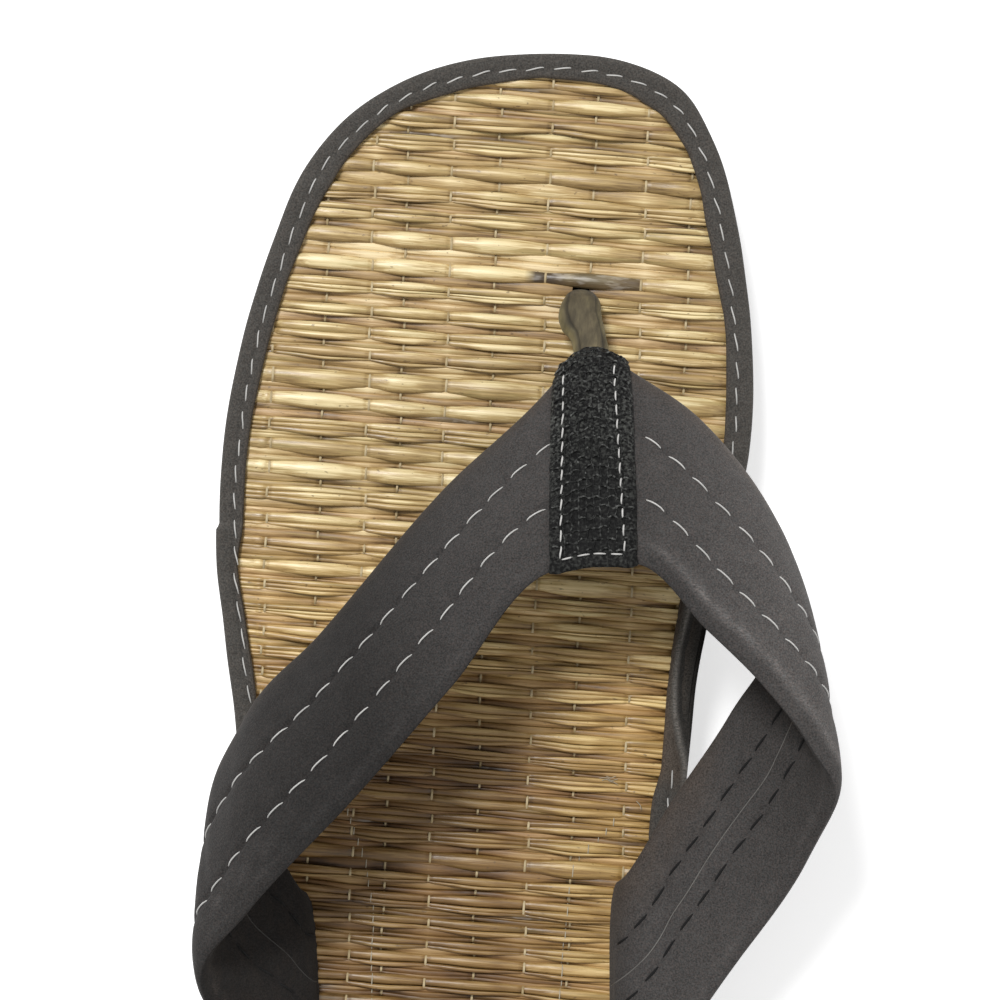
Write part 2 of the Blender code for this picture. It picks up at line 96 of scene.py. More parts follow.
# The strap from the lateral slot to the medial slot, in the same shares as its solid
STRAP = {
    # front: across, along, up; rear: across, along, up; thickness, crown
    "lateral slot": (-0.376, 0.401, 0.000, -0.327, 0.269, 0.000, SLOT_PINCH, 0.0),
    "lateral lip": (-0.383, 0.404, 0.085, -0.336, 0.271, 0.095, SLOT_PINCH, 0.0),
    "lateral low": (-0.420, 0.424, 0.175, -0.388, 0.290, 0.270, 0.95, 0.0),
    "lateral bend": (-0.488, 0.452, 0.275, -0.475, 0.320, 0.502, 1.0, 0.0),
    "lateral fold": (-0.534, 0.480, 0.365, -0.522, 0.359, 0.724, 1.0, 0.3),
    "lateral hip": (-0.491, 0.529, 0.430, -0.460, 0.399, 0.862, 1.0, 0.8),
    "lateral middle": (-0.370, 0.586, 0.472, -0.287, 0.480, 0.985, 1.0, 1.0),
    "lateral inner": (-0.174, 0.686, 0.500, -0.126, 0.560, 1.025, 1.0, 0.9),
    "tab lateral edge": (0.022, 0.769, 0.520, 0.041, 0.642, 1.028, 1.0, 0.5),
    "tab lateral tip": (0.048, 0.784, 0.456, 0.075, 0.646, 1.028, 1.0, 0.4),
    "tip": (0.085, 0.791, 0.413, 0.112, 0.649, 1.028, 1.0, 0.4),
    "tab medial tip": (0.121, 0.788, 0.455, 0.151, 0.650, 1.028, 1.0, 0.4),
    "tab medial edge": (0.153, 0.781, 0.498, 0.184, 0.651, 1.028, 1.0, 0.5),
    "medial inner": (0.292, 0.750, 0.550, 0.323, 0.611, 1.045, 1.0, 0.9),
    "medial middle": (0.405, 0.705, 0.556, 0.438, 0.575, 1.028, 1.0, 1.0),
    "medial hip": (0.472, 0.657, 0.500, 0.528, 0.538, 0.944, 1.0, 0.7),
    "medial fold": (0.497, 0.615, 0.417, 0.568, 0.506, 0.820, 1.0, 0.2),
    "medial bend": (0.470, 0.582, 0.355, 0.546, 0.458, 0.610, 1.0, 0.0),
    "medial low": (0.407, 0.547, 0.288, 0.455, 0.387, 0.400, 1.0, 0.0),
    "medial step": (0.304, 0.486, 0.195, 0.358, 0.324, 0.255, 0.95, 0.0),
    "medial lip": (0.228, 0.430, 0.085, 0.262, 0.276, 0.095, SLOT_PINCH, 0.0),
    "medial slot": (0.219, 0.425, 0.000, 0.252, 0.271, 0.000, SLOT_PINCH, 0.0),
}

# Camera of the photo: straight above, rolled with the shoe
CAMERA_PLACE = (-0.0062, 0.148, 0.560)
CAMERA_ROLL = 4.5  # degrees
SENSOR = 36.0
LENS = 104.76

# Weave of the mat
PAIR_PITCH = (0.0041, 0.0046)  # a bright row of stalks and a dull one, under the strap and at the toes
PITCH_SPAN = (0.13, 0.18)  # Y between the two pitches
PAIR_SPREAD = 0.17  # how much a pair's pitch differs, as a share
BRIGHT_SHARE = (0.50, 0.66)  # of a pair's pitch
MAT_INSET = 0.0018  # the stalks end this far inside the bound edge
MAT_PRESS = 0.0049  # the tape presses the stalks down this far inside the bound edge
WARP_LEAN = -0.045  # how far the warps lean to the lateral side for each length towards the toes
WARP_KEY = 0.213  # Y at which the warps' places hold
WARPS = (
    -0.0527, -0.0430, -0.0345, -0.0283, -0.0200, -0.0114,
    -0.0019, 0.0064, 0.0161, 0.0246, 0.0345, 0.0430,
)
BRIGHT_SWELL = ((0.00016, 0.00052), (0.0, 0.00022))  # least and most, at the heel and toe side
DULL_SWELL = 0.00020
ROW_WANDER = 0.00028
STRAND_SIDES = (-1.0, -0.88, -0.55, 0.0, 0.55, 0.88, 1.0)
TIE_SPREAD = 0.00055
TIE_POINTS = (-0.0017, -0.0010, -0.0006, -0.0003, 0.0, 0.0003, 0.0006, 0.0010, 0.0017)
STRAND_STEP = 0.0021
MAT_SPLIT = 0.096  # Y between the pieces of the forefoot and of the heel
CORE_DROP = 0.0018
WARP_THREAD = 0.00024  # radius
DARK_ROW = (0.1887, 0.1913)  # the row of the dark stalk
DARK_STALK = (-0.0040, 0.0164)  # X from and to
FINE_BELOW = 0.135  # Y below which the rows are mostly of several thin strands
TOE_LIGHT = (0.22, 0.12)  # painted light: how much lighter bright and dull strands are at their toe side
LIT_SLOPE = 0.35  # share of TOE_LIGHT that changes evenly across a strand
HEEL_SHADE = (0.45, 0.75)  # painted shade: share that its heel side loses, and how much more on a bright row's swell
SWELL_SHADE = 0.34  # how much darker a dull row is beside the swell of a bright one
ROW_LEVEL = (0.00008, -0.00062)  # height of bright and of dull rows above the deck
ROW_LIFT = 0.00026  # how far a row rises over a warp of the other kind
TIE_DIP = (0.00017, 0.00015)  # how far its own warps press it down
TIE_PINCH = 0.00009  # how far they draw its edges in
TAPE_PRESS = 0.0005  # how far the tape presses a row down
TAPE_PRESS_REACH = 0.0022
STRAND_ODDS = ((0.34, 0.44, 0.22), (0.34, 0.38, 0.28))  # of one, two and three strands in a row
FINE_ODDS = (0.16, 0.40, 0.44)  # the same for the rows below FINE_BELOW
WIDEST_SHARE = 1.7  # how much wider a bright row's strand at the toe side is
STRAND_DEPTH = (0.84, 0.56)  # as shares of half its width
STRAND_DEEPEST = 0.00095
STRAND_OVERLAP = 1.04
STRAND_DROP = 0.00022  # the most that a strand lies lower than its neighbours
STRAND_BRIGHT = ((0.68, 0.08), (0.53, 0.08))  # middle and spread of its brightness
STRAND_PINK = ((0.08, 0.12), (0.50, 0.35))
STAIN_ODDS = 0.14
SLOT_LEAST = 0.0006  # a slot's half length across a row that is too short to cut the row
SPAN_LEAST = 0.0012  # a shorter stretch of straw is left out
RING_LEAST = 0.00016  # least distance between a strand's cross-sections
HOLE_SHARES = (0.40, 0.42)  # half the straw's hole, as shares of the thong's width and depth

# Threads over the mat
THREAD_BURIED = 0.0019  # below the deck, under a row
THREAD_RISE = 0.00004  # above the top of a row
THREAD_BEND = 0.00095  # how far it follows a row's round top down
THREAD_SHARES = (0.04, 0.22, 0.5, 0.78, 0.96)  # of a row's width

# Stitching
THREAD = 0.000148  # radius
STITCH_STEPS = 9
STITCH_DIVE = 0.00035  # how far a stitch's ends go down into their holes
STITCH_ARCH = 0.45  # power that flattens its top
STITCH_ENDS = 0.60  # thickness of its ends, as a share of its middle's
LINING_THREAD = 0.00022
SEAM_EDGE = 0.00013  # radius of the lining's cut edge
HOLE_REACH = 0.0007  # how far the cloth is drawn in round a hole
TAPE_ROW = 0.0030  # distance of the tape's stitches from its outer edge
TAPE_STITCH = (0.0052, 0.0039)  # pitch and length
STRAP_STITCH = (0.0058, 0.0048)
TAB_STITCH = (0.0030, 0.0022)
TOP_ROWS = (
    # place on the strap, across it the front row and the rear row
    (0.0, 0.36, 0.75),
    (4.7, 0.36, 0.76),
    (5.3, 0.40, 0.745),
    (6.5, 0.42, 0.73),
    (7.3, 0.41, 0.715),
    (8.0, 0.37, 0.70),
    (12.1, 0.36, 0.69),
    (12.4, 0.40, 0.72),
    (13.6, 0.45, 0.75),
    (14.3, 0.48, 0.74),
    (15.2, 0.45, 0.68),
    (16.2, 0.40, 0.58),
    (21.0, 0.34, 0.64),
)
UNDER_ROWS = (
    (0.0, 0.23, 0.64),
    (15.0, 0.33, 0.62),
    (18.0, 0.31, 0.585),
    (21.0, 0.30, 0.58),
)
UNDER_SEAM = 0.47


def smooth(keys, rows, at):
    """The rows of a table, read at any place between its keys on one smooth curve."""
    keys = np.asarray(keys, float)
    rows = np.asarray(rows, float)
    slopes = np.gradient(rows, keys, axis=0)
    start = np.clip(np.searchsorted(keys, at, side="right") - 1, 0, len(keys) - 2)
    span = (keys[start + 1] - keys[start])[:, None]
    share = (np.asarray(at)[:, None] - keys[start][:, None]) / span
    rest = 1 - share
    return (
        rows[start] * (1 + 2 * share) * rest**2
        + rows[start + 1] * (1 + 2 * rest) * share**2
        + slopes[start] * span * share * rest**2
        - slopes[start + 1] * span * rest * share**2
    )


def ease(share):
    """0 to 1 with a soft start and end."""
    share = np.clip(share, 0, 1)
    return share * share * (3 - 2 * share)


def between(value, low, high, soft):
    """1 from low to high, fading to 0 over a soft length outside them."""
    return ease((value - low) / soft + 1) * ease((high - value) / soft + 1)


def bell(distance, reach):
    """1 at no distance, falling off softly over the reach."""
    return np.exp(-((distance / reach) ** 2))


def unit(vectors):
    """Vectors brought to length 1."""
    return vectors / np.linalg.norm(vectors, axis=-1)[..., None]


def lengths_along(points):
    """Length of a path up to each of its points."""
    return np.concatenate([[0], np.cumsum(np.linalg.norm(np.diff(points, axis=0), axis=1))])


def read_table(table, at):
    """The second column of a table, read at places in its first."""
    return np.interp(at, *np.array(table).T)


def wander(at, pitch, seed):
    """Smooth noise from -1 to 1 along a line, with a new value every pitch."""
    at = np.asarray(at, float) / pitch
    values = np.random.default_rng(seed).uniform(-1, 1, 512)
    first = np.floor(at).astype(int)
    share = ease(at - first)
    return values[first % 512] * (1 - share) + values[(first + 1) % 512] * share


def mottle(a, b, pitch, seed):
    """Smooth noise from -1 to 1 over a surface, with a new value every pitch both ways."""
    a, b = np.broadcast_arrays(np.asarray(a, float) / pitch, np.asarray(b, float) / pitch)
    values = np.random.default_rng(seed).uniform(-1, 1, (128, 128))
    i, j = np.floor(a).astype(int), np.floor(b).astype(int)
    s, t = ease(a - i), ease(b - j)
    low = values[i % 128, j % 128] * (1 - s) + values[(i + 1) % 128, j % 128] * s
    high = values[i % 128, (j + 1) % 128] * (1 - s) + values[(i + 1) % 128, (j + 1) % 128] * s
    return low * (1 - t) + high * t


def deck(y):
    """Height of the straw's top."""
    along = (np.asarray(y, float) + HEEL_BACK) / LENGTH
    wedge = ease((WEDGE_FRONT - along) / (WEDGE_FRONT - WEDGE_BACK))
    spring = np.clip((along - SPRING_BACK) / (1 - SPRING_BACK), 0, 1) ** 2
    return FOREFOOT_DECK + HEEL_LIFT * wedge + TOE_SPRING * spring


def plan_loop():
    """The bound edge as one closed loop: medial side first, from heel to toe."""
    turn = np.linspace(0, math.pi, PLAN_STEPS + 1)
    table = np.array(PLAN)
    across = BALL_WIDTH * smooth(np.arccos(1 - 2 * table[:, 0]), table[:, 1:], turn)
    y = LENGTH * (1 - np.cos(turn)) / 2 - HEEL_BACK
    medial = np.column_stack([across[:, 1], y])
    lateral = np.column_stack([across[:, 0], y])
    return np.concatenate([medial, lateral[-2:0:-1]])


def edge_path(count):
    """Evenly spaced points of the bound edge, their inward normals and their places along it."""
    loop = plan_loop()
    closed = np.concatenate([loop, loop[:1]])
    lengths = lengths_along(closed)
    at = np.arange(count) * lengths[-1] / count
    points = np.column_stack([np.interp(at, lengths, closed[:, axis]) for axis in (0, 1)])
    travel = unit(np.roll(points, -2, axis=0) - np.roll(points, 2, axis=0))
    return points, np.column_stack([-travel[:, 1], travel[:, 0]]), at, lengths[-1]


def plan_sides(inset):
    """The plan moved inwards: its medial and its lateral side, each from heel to toe."""
    loop = plan_loop()
    travel = unit(np.roll(loop, -1, axis=0) - np.roll(loop, 1, axis=0))
    moved = loop + inset * np.column_stack([-travel[:, 1], travel[:, 0]])
    medial = moved[: PLAN_STEPS + 1]
    lateral = np.concatenate([moved[PLAN_STEPS:], moved[:1]])[::-1]
    return medial, lateral


def sides_at(sides, y):
    """The medial and the lateral X of a plan's two sides at each Y."""
    return [np.interp(y, side[:, 1], side[:, 0]) for side in sides]


# Meshes


def new_parts():
    return {"points": [], "faces": [], "tones": [], "count": 0}


def add_tube(parts, sections, tone=(1, 0, 0, 0), closed=False):
    """A skin through equal cross-sections, with flat ends unless it is closed."""
    sections = np.asarray(sections, float)
    rings, size, _ = sections.shape
    grid = parts["count"] + np.arange(rings * size).reshape(rings, size)
    after = np.roll(grid, -1, axis=1)
    quads = np.stack([grid[:-1], after[:-1], after[1:], grid[1:]], axis=-1).reshape(-1, 4)
    parts["faces"].extend(quads.tolist())
    if closed:
        seam = np.stack([grid[-1], after[-1], after[0], grid[0]], axis=-1)
        parts["faces"].extend(seam.tolist())
    else:
        parts["faces"].append(grid[0][::-1].tolist())
        parts["faces"].append(grid[-1].tolist())
    parts["points"].append(sections.reshape(-1, 3))
    tone = np.asarray(tone, float)
    if tone.ndim == 2:
        tone = tone[:, None, :]
    parts["tones"].append(np.broadcast_to(tone, (rings, size, 4)).reshape(-1, 4))
    parts["count"] += rings * size


def grey_tone(bright):
    """A tone that holds only a brightness."""
    tone = np.zeros((*np.shape(bright), 4))
    tone[..., 0] = bright
    return tone


def add_object(name, data):
    made = bpy.data.objects.new(name, data)
    bpy.context.scene.collection.objects.link(made)
    return made


def finish_piece(parts, name, look, replaces=()):
    """One mesh object of all the tubes, turned right side out and riding on the sandal."""
    points = np.concatenate(parts["points"])
    mesh = bpy.data.meshes.new(name)
    mesh.from_pydata(points.tolist(), [], parts["faces"])
    tones = mesh.attributes.new("tone", "FLOAT_COLOR", "POINT")
    tones.data.foreach_set("color", np.concatenate(parts["tones"]).astype(np.float32).ravel())
    mesh.materials.append(look)
    mesh.shade_smooth()
    mesh.set_sharp_from_angle(angle=math.radians(60))
    quads = np.array([face for face in parts["faces"] if len(face) == 4])
    a, b, c, d = (points[quads[:, corner]] for corner in range(4))
    if np.einsum("ij,ij->", (a + b + c + d) / 4, np.cross(c - a, d - b)) < 0:
        mesh.flip_normals()
    made = add_object(name, mesh)
    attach(made, "root")
    if replaces:
        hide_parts(*replaces)
    return made


def thread_sections(path, radius, up, sides=8):
    """Round cross-sections along a path, their first direction kept close to up."""
    path = np.asarray(path, float)
    travel = unit(np.gradient(path, axis=0))
    beside = unit(np.cross(travel, np.broadcast_to(up, path.shape)))
    over = np.cross(beside, travel)
    turn = 2 * math.pi * np.arange(sides) / sides
    radius = np.broadcast_to(radius, len(path))[:, None, None]
    around = np.cos(turn)[None, :, None] * beside[:, None] + np.sin(turn)[None, :, None] * over[:, None]
    return path[:, None] + radius * around


def hole_distance(at, pitch, dash):
    """Distance along a stitched row to the nearest needle hole."""
    phase = np.mod(at, pitch)
    return np.minimum(np.minimum(phase, pitch - phase), np.abs(phase - dash))


def stitch_path(surface, start, end, slant, rise, steps=STITCH_STEPS):
    """A stitch over a surface function of place and sideways shift: both ends dive into holes."""
    share = np.linspace(0, 1, steps)
    lift = -STITCH_DIVE + (rise + STITCH_DIVE) * np.sin(math.pi * share) ** STITCH_ARCH
    sideways = slant * np.sin(math.pi * (share - 0.5))
    return surface(start + (end - start) * share, sideways, lift)


def stitch_taper(steps=STITCH_STEPS):
    """How thick a stitch shows along its path: it thins out towards its holes."""
    return STITCH_ENDS + (1 - STITCH_ENDS) * np.sin(math.pi * np.linspace(0, 1, steps)) ** 0.6


# Materials


def fill(tree, made, inputs):
    """A node's inputs, set to values or linked to the outputs of other nodes."""
    for name, value in dict(inputs).items():
        if isinstance(value, bpy.types.NodeSocket):
            tree.links.new(value, made.inputs[name])
        else:
            made.inputs[name].default_value = value


def node(tree, kind, inputs=(), **settings):
    made = tree.nodes.new(kind)
    for name, value in settings.items():
        setattr(made, name, value)
    fill(tree, made, inputs)
    return made


def new_look(name, roughness):
    look = bpy.data.materials.new(name)
    look.use_nodes = True
    shader = look.node_tree.nodes["Principled BSDF"]
    shader.inputs["Roughness"].default_value = roughness
    return look, look.node_tree, shader


def noise(tree, scale, detail, shift=None):
    """Noise over the sandal's own coordinates, with one scale or a scale for each axis."""
    place = node(tree, "ShaderNodeTexCoord").outputs["Object"]
    if shift is not None:
        place = node(tree, "ShaderNodeVectorMath", {0: place, 1: shift}, operation="ADD").outputs[0]
    if not isinstance(scale, tuple):
        scale = (scale, scale, scale)
    placed = node(tree, "ShaderNodeMapping", {"Vector": place, "Scale": scale}).outputs[0]
    return node(tree, "ShaderNodeTexNoise", {"Vector": placed, "Scale": 1.0, "Detail": detail}).outputs["Fac"]


def maths(tree, operation, *values):
    made = node(tree, "ShaderNodeMath", dict(enumerate(values)), operation=operation)
    return made.outputs[0]


def ranged(tree, value, low, high, to_low=0.0, to_high=1.0):
    inputs = {"Value": value, "From Min": low, "From Max": high, "To Min": to_low, "To Max": to_high}
    return node(tree, "ShaderNodeMapRange", inputs).outputs[0]


def mixed(tree, share, first, second, blend="MIX"):
    """Two colours mixed. The mix node's share and colours have these numbers."""
    made = node(tree, "ShaderNodeMix", {0: share}, data_type="RGBA", blend_type=blend)
    for number, colour in ((6, first), (7, second)):
        fill(tree, made, {number: (*colour, 1) if isinstance(colour, tuple) else colour})
    return made.outputs[2]


def shaded(tree, colour, level):
    """A colour multiplied by a value."""
    grey = node(tree, "ShaderNodeCombineXYZ", {"X": level, "Y": level, "Z": level}).outputs[0]
    return mixed(tree, 1.0, colour, grey, "MULTIPLY")


def ramp(tree, value, stops):
    made = node(tree, "ShaderNodeValToRGB", {"Fac": value})
    elements = made.color_ramp.elements
    while len(elements) < len(stops):
        elements.new(0.5)
    for element, (place, colour) in zip(elements, stops):
        element.position = place
        element.color = (*colour, 1)
    return made.outputs["Color"]


def tone_parts(tree):
    """The piece's painted tone: red, green and blue, and the fourth value."""
    painted = node(tree, "ShaderNodeAttribute", attribute_name="tone")
    split = node(tree, "ShaderNodeSeparateColor", {"Color": painted.outputs["Color"]})
    return split.outputs[0], split.outputs[1], split.outputs[2], painted.outputs["Alpha"]


def bump(tree, shader, height, strength, distance, before=None):
    inputs = {"Height": height, "Strength": strength, "Distance": distance}
    if before is not None:
        inputs["Normal"] = before
    made = node(tree, "ShaderNodeBump", inputs)
    tree.links.new(made.outputs[0], shader.inputs["Normal"])
    return made.outputs[0]


STRAW_STOPS = (
    (0.00, (0.030, 0.016, 0.005)),
    (0.25, (0.135, 0.079, 0.026)),
    (0.50, (0.300, 0.195, 0.072)),
    (0.75, (0.480, 0.338, 0.138)),
    (1.00, (0.800, 0.660, 0.360)),
)
WARM_SHADE_SPAN = (0.150, 0.112)  # Y over which painted warm shade tints the straw gold, towards the heel
WARM_SHADE = (1.04, 0.94, 0.76)
LOW_SHADE_SPAN = (0.122, 0.098)  # Y over which painted shade makes it darker
LOW_SHADE_SIDES = (0.000, 0.020)  # X over which the painted shade fades towards the arch
LOW_SHADE = (0.44, 0.38, 0.32)


def straw_look(name, roughness, coat):
    """Dried stalks: fibres along X, patches, and the tone painted on each stalk.

    Tone: red brightness, green how pinkish brown, blue the stalk's own number, fourth a stain.
    """
    look, tree, shader = new_look(name, roughness)
    bright, pink, number, stain = tone_parts(tree)
    shift = node(tree, "ShaderNodeCombineXYZ", {"X": number, "Y": number}).outputs[0]
    fibre = noise(tree, (40, 2100, 1500), 3.0, shift)
    fine = noise(tree, (110, 6000, 4200), 2.0, shift)
    patch = noise(tree, (70, 260, 260), 2.0, shift)
    level = maths(tree, "MULTIPLY_ADD", fibre, 0.80, -0.40)
    for grain, weight in ((fine, 0.50), (patch, 0.55)):
        level = maths(tree, "ADD", level, maths(tree, "MULTIPLY_ADD", grain, weight, -weight / 2))
    level = maths(tree, "ADD", level, bright)
    colour = ramp(tree, level, STRAW_STOPS)
    brown = mixed(tree, 1.0, colour, (1.00, 0.92, 1.03), "MULTIPLY")
    colour = mixed(tree, pink, colour, brown)
    green = ranged(tree, noise(tree, (50, 900, 900), 1.0, shift), 0.56, 0.70)
    colour = mixed(tree, maths(tree, "MULTIPLY", green, 0.25), colour, (0.340, 0.300, 0.115))
    place = node(tree, "ShaderNodeTexCoord").outputs["Object"]
    place = node(tree, "ShaderNodeSeparateXYZ", {"Vector": place})
    # Painted warm shade: towards the heel the straw is tinted gold, as light thrown back by the straw tints
    # the shade
    warm_shaded = mixed(tree, 1.0, colour, WARM_SHADE, "MULTIPLY")
    colour = mixed(tree, ranged(tree, place.outputs["Y"], *WARM_SHADE_SPAN), colour, warm_shaded)
    # Painted shade over the lower mat, fading out towards the arch
    low_shade = ranged(tree, place.outputs["X"], *LOW_SHADE_SIDES, 1.0, 0.10)
    low_shade = maths(tree, "MULTIPLY", low_shade, ranged(tree, place.outputs["Y"], *LOW_SHADE_SPAN))
    colour = mixed(tree, low_shade, colour, mixed(tree, 1.0, colour, LOW_SHADE, "MULTIPLY"))
    # The dark stalk: dark brown with painted grey highlights over it
    stain_highlight = ranged(tree, noise(tree, (260, 1100, 1100), 2.0, shift), 0.52, 0.64)
    dark = mixed(tree, stain_highlight, (0.040, 0.024, 0.013), (0.22, 0.20, 0.18))
    colour = mixed(tree, stain, colour, dark)
    speck = ranged(tree, noise(tree, (700, 1400, 1400), 2.0), 0.68, 0.74)
    colour = mixed(tree, maths(tree, "MULTIPLY", speck, 0.6), colour, (0.10, 0.055, 0.022))
    gloss = ranged(tree, fibre, 0.3, 0.7, roughness - 0.08, roughness + 0.10)
    fill(tree, shader, {"Base Color": colour, "Roughness": gloss})
    fill(tree, shader, {"Coat Weight": coat, "Coat Roughness": 0.32})
    first = bump(tree, shader, fibre, 0.55, 0.00025)
    bump(tree, shader, fine, 0.35, 0.00010, first)
    return look


def microfibre_look(name, colour, tint):
    """Napped cloth: a fine grain, a cloudy tone, and ridges that rubbing and painted highlights make lighter.

    Tone: red brightness, with painted light and shade; green the nap's rubbing and painted highlights; blue
    how brown; fourth painted shade, how dark.
    """
    look, tree, shader = new_look(name, 0.88)
    bright, rub_and_sheen, warm, dark = tone_parts(tree)
    grain = noise(tree, 3400, 2.0)
    cloud = noise(tree, 300, 3.0)
    hairs = noise(tree, (1100, 4200, 2600), 2.0)
    tinge = noise(tree, 2600, 1.0)
    shade = ranged(tree, cloud, 0.3, 0.7, -0.08, 0.08)
    level = maths(tree, "ADD", ranged(tree, grain, 0.30, 0.70, 0.58, 1.42), shade)
    level = maths(tree, "MULTIPLY", level, bright)
    strands = ranged(tree, hairs, 0.35, 0.65, 0.2, 1.5)
    level = maths(tree, "ADD", level, maths(tree, "MULTIPLY", rub_and_sheen, strands))
    level = maths(tree, "MULTIPLY", level, maths(tree, "MULTIPLY_ADD", dark, -0.8, 1.0))
    base = mixed(tree, ranged(tree, tinge, 0.42, 0.60), colour, tint)
    base = mixed(tree, warm, base, tuple(part * share for part, share in zip(colour, (1.55, 1.12, 0.82))))
    fill(tree, shader, {"Base Color": shaded(tree, base, level), "Specular IOR Level": 0.15})
    sheen = {"Sheen Weight": 0.06, "Sheen Roughness": 0.45, "Sheen Tint": (0.80, 0.78, 0.76, 1)}
    fill(tree, shader, sheen)
    first = bump(tree, shader, grain, 0.55, 0.00018)
    bump(tree, shader, hairs, 0.25, 0.00010, first)
    return look


def thread_look(name, colour, roughness, sheen=0.2):
    """Twisted sewing thread: fine slanting plies and a little dirt. Tone: red brightness."""
    look, tree, shader = new_look(name, roughness)
    bright, _, _, _ = tone_parts(tree)
    plies = noise(tree, 2600, 1.0)
    dirt = noise(tree, 160, 2.0)
    dull = tuple(part * 0.62 for part in colour)
    share = maths(tree, "MULTIPLY", ranged(tree, dirt, 0.40, 0.75), 0.7)
    base = mixed(tree, share, colour, dull)
    fill(tree, shader, {"Base Color": shaded(tree, base, bright), "Sheen Weight": sheen})
    bump(tree, shader, plies, 0.6, 0.00012)
    return look


def mesh_fabric_look(name, colour, light):
    """Coarse dark cord with light fuzz. Tone: red how much fuzz there is, with painted highlights on cord
    crests.
    """
    look, tree, shader = new_look(name, 0.72)
    fuzz_and_sheen, _, _, _ = tone_parts(tree)
    grain = noise(tree, 1700, 3.0)
    fuzz = noise(tree, 4200, 2.0)
    share = maths(tree, "MULTIPLY", ranged(tree, grain, 0.45, 0.72), fuzz_and_sheen)
    base = mixed(tree, share, colour, light)
    fill(tree, shader, {"Base Color": base, "Sheen Weight": 0.01, "Specular IOR Level": 0.22})
    first = bump(tree, shader, grain, 0.8, 0.0003)
    bump(tree, shader, fuzz, 0.5, 0.00012, first)
    return look


def suede_look(name):
    """Worn suede. Tone: red brightness, green how yellow."""
    look, tree, shader = new_look(name, 0.82)
    bright, yellow, _, _ = tone_parts(tree)
    cloud = noise(tree, (520, 240, 240), 3.0)
    streak = noise(tree, (2200, 500, 500), 2.0)
    grain = noise(tree, 3600, 2.0)
    stops = ((0.25, (0.046, 0.036, 0.020)), (0.55, (0.082, 0.066, 0.037)), (0.80, (0.130, 0.107, 0.056)))
    base = ramp(tree, cloud, stops)
    base = mixed(tree, yellow, base, (0.180, 0.150, 0.062))
    level = maths(tree, "MULTIPLY", bright, ranged(tree, streak, 0.3, 0.7, 0.82, 1.18))
    fill(tree, shader, {"Base Color": shaded(tree, base, level)})
    fill(tree, shader, {"Sheen Weight": 0.05, "Sheen Roughness": 0.5})
    first = bump(tree, shader, grain, 0.4, 0.00012)
    bump(tree, shader, streak, 0.3, 0.0002, first)
    return look


def rubber_look(name, colour, roughness, scale):
    """Matt rubber or foam: a fine grain and clouds of dust."""
    look, tree, shader = new_look(name, roughness)
    cloud = noise(tree, (60, 60, 90), 3.0)
    grain = noise(tree, scale, 2.0)
    dusty = tuple(part * 1.7 + 0.012 for part in colour)
    share = maths(tree, "MULTIPLY", ranged(tree, cloud, 0.42, 0.70), 0.6)
    gloss = ranged(tree, cloud, 0.3, 0.7, roughness - 0.08, roughness + 0.1)
    fill(tree, shader, {"Base Color": mixed(tree, share, colour, dusty), "Roughness": gloss})
    bump(tree, shader, grain, 0.4, 0.00015)
    return look


# The straw mat


def warps_at(y):
    return np.array(WARPS) + WARP_LEAN * (y - WARP_KEY)


def swing(x, y):
    """-1 where a bright row is tied, 1 halfway to the next such tie, where a dull row is tied."""
    number = np.interp(x, warps_at(y), np.arange(len(WARPS)))
    return -np.cos(math.pi * number)


def tie_distance(x, y, kind):
    """Distance along a row to the nearest warp that ties rows of this kind."""
    return np.abs(np.asarray(x)[:, None] - warps_at(y)[kind::2]).min(axis=1)


def tie_nearness(x, y, kind):
    return bell(tie_distance(x, y, kind), TIE_SPREAD)


def weave_rows():
    """From heel to toe: each row's kind, 0 for bright and 1 for dull, its two edges and number."""
    random = np.random.default_rng(11)
    ends = (MAT_INSET - HEEL_BACK, LENGTH - HEEL_BACK - MAT_INSET)
    found = [(0, *DARK_ROW)]
    for start, end, way in ((DARK_ROW[0], ends[0], -1), (DARK_ROW[1], ends[1], 1)):
        y = start
        while (end - y) * way > PAIR_PITCH[0] / 2:
            pitch = np.interp(y, PITCH_SPAN, PAIR_PITCH) * (1 + random.uniform(-PAIR_SPREAD, PAIR_SPREAD))
            narrow = pitch * (1 - random.uniform(*BRIGHT_SHARE))
            found.append((1, *sorted((y, y + way * narrow))))
            found.append((0, *sorted((y + way * narrow, y + way * pitch))))
            y += way * pitch
    found.sort(key=lambda row: row[1])
    return [(kind, low, high, number) for number, (kind, low, high) in enumerate(found)]


def row_edges(row, x):
    """The row's rear and front edge at each X: it swells between its ties and wanders a little."""
    kind, low, high, number = row
    middle = (low + high) / 2
    halfway = (1 + swing(x, middle)) / 2
    random = np.random.default_rng(900 + number)
    pinch = TIE_PINCH * tie_nearness(x, middle, kind)
    if kind == 0:
        rear_swell = random.uniform(*BRIGHT_SWELL[0]) * halfway**1.3
        front_swell = random.uniform(*BRIGHT_SWELL[1]) * halfway
    else:
        rear_swell = DULL_SWELL * (1 - halfway)
        front_swell = 2 * DULL_SWELL
    low_line = low - rear_swell + pinch + ROW_WANDER * wander(x, 0.021, 100 + number)
    high_line = high + front_swell - pinch + ROW_WANDER * wander(x, 0.021, 101 + number)
    return low_line, high_line


def row_height(row, x, y):
    """Height of the row's top: it goes over the warps of one kind and under the other."""
    kind, low, high, number = row
    middle = (low + high) / 2
    over = swing(x, middle) if kind == 0 else -swing(x, middle)
    dip = TIE_DIP[kind] * tie_nearness(x, middle, kind)
    pressed = TAPE_PRESS * near_tape(x, y)
    uneven = 0.00012 * wander(x, 0.028, 700 + number)
    return deck(y) + ROW_LEVEL[kind] + ROW_LIFT * over - dip - pressed + uneven


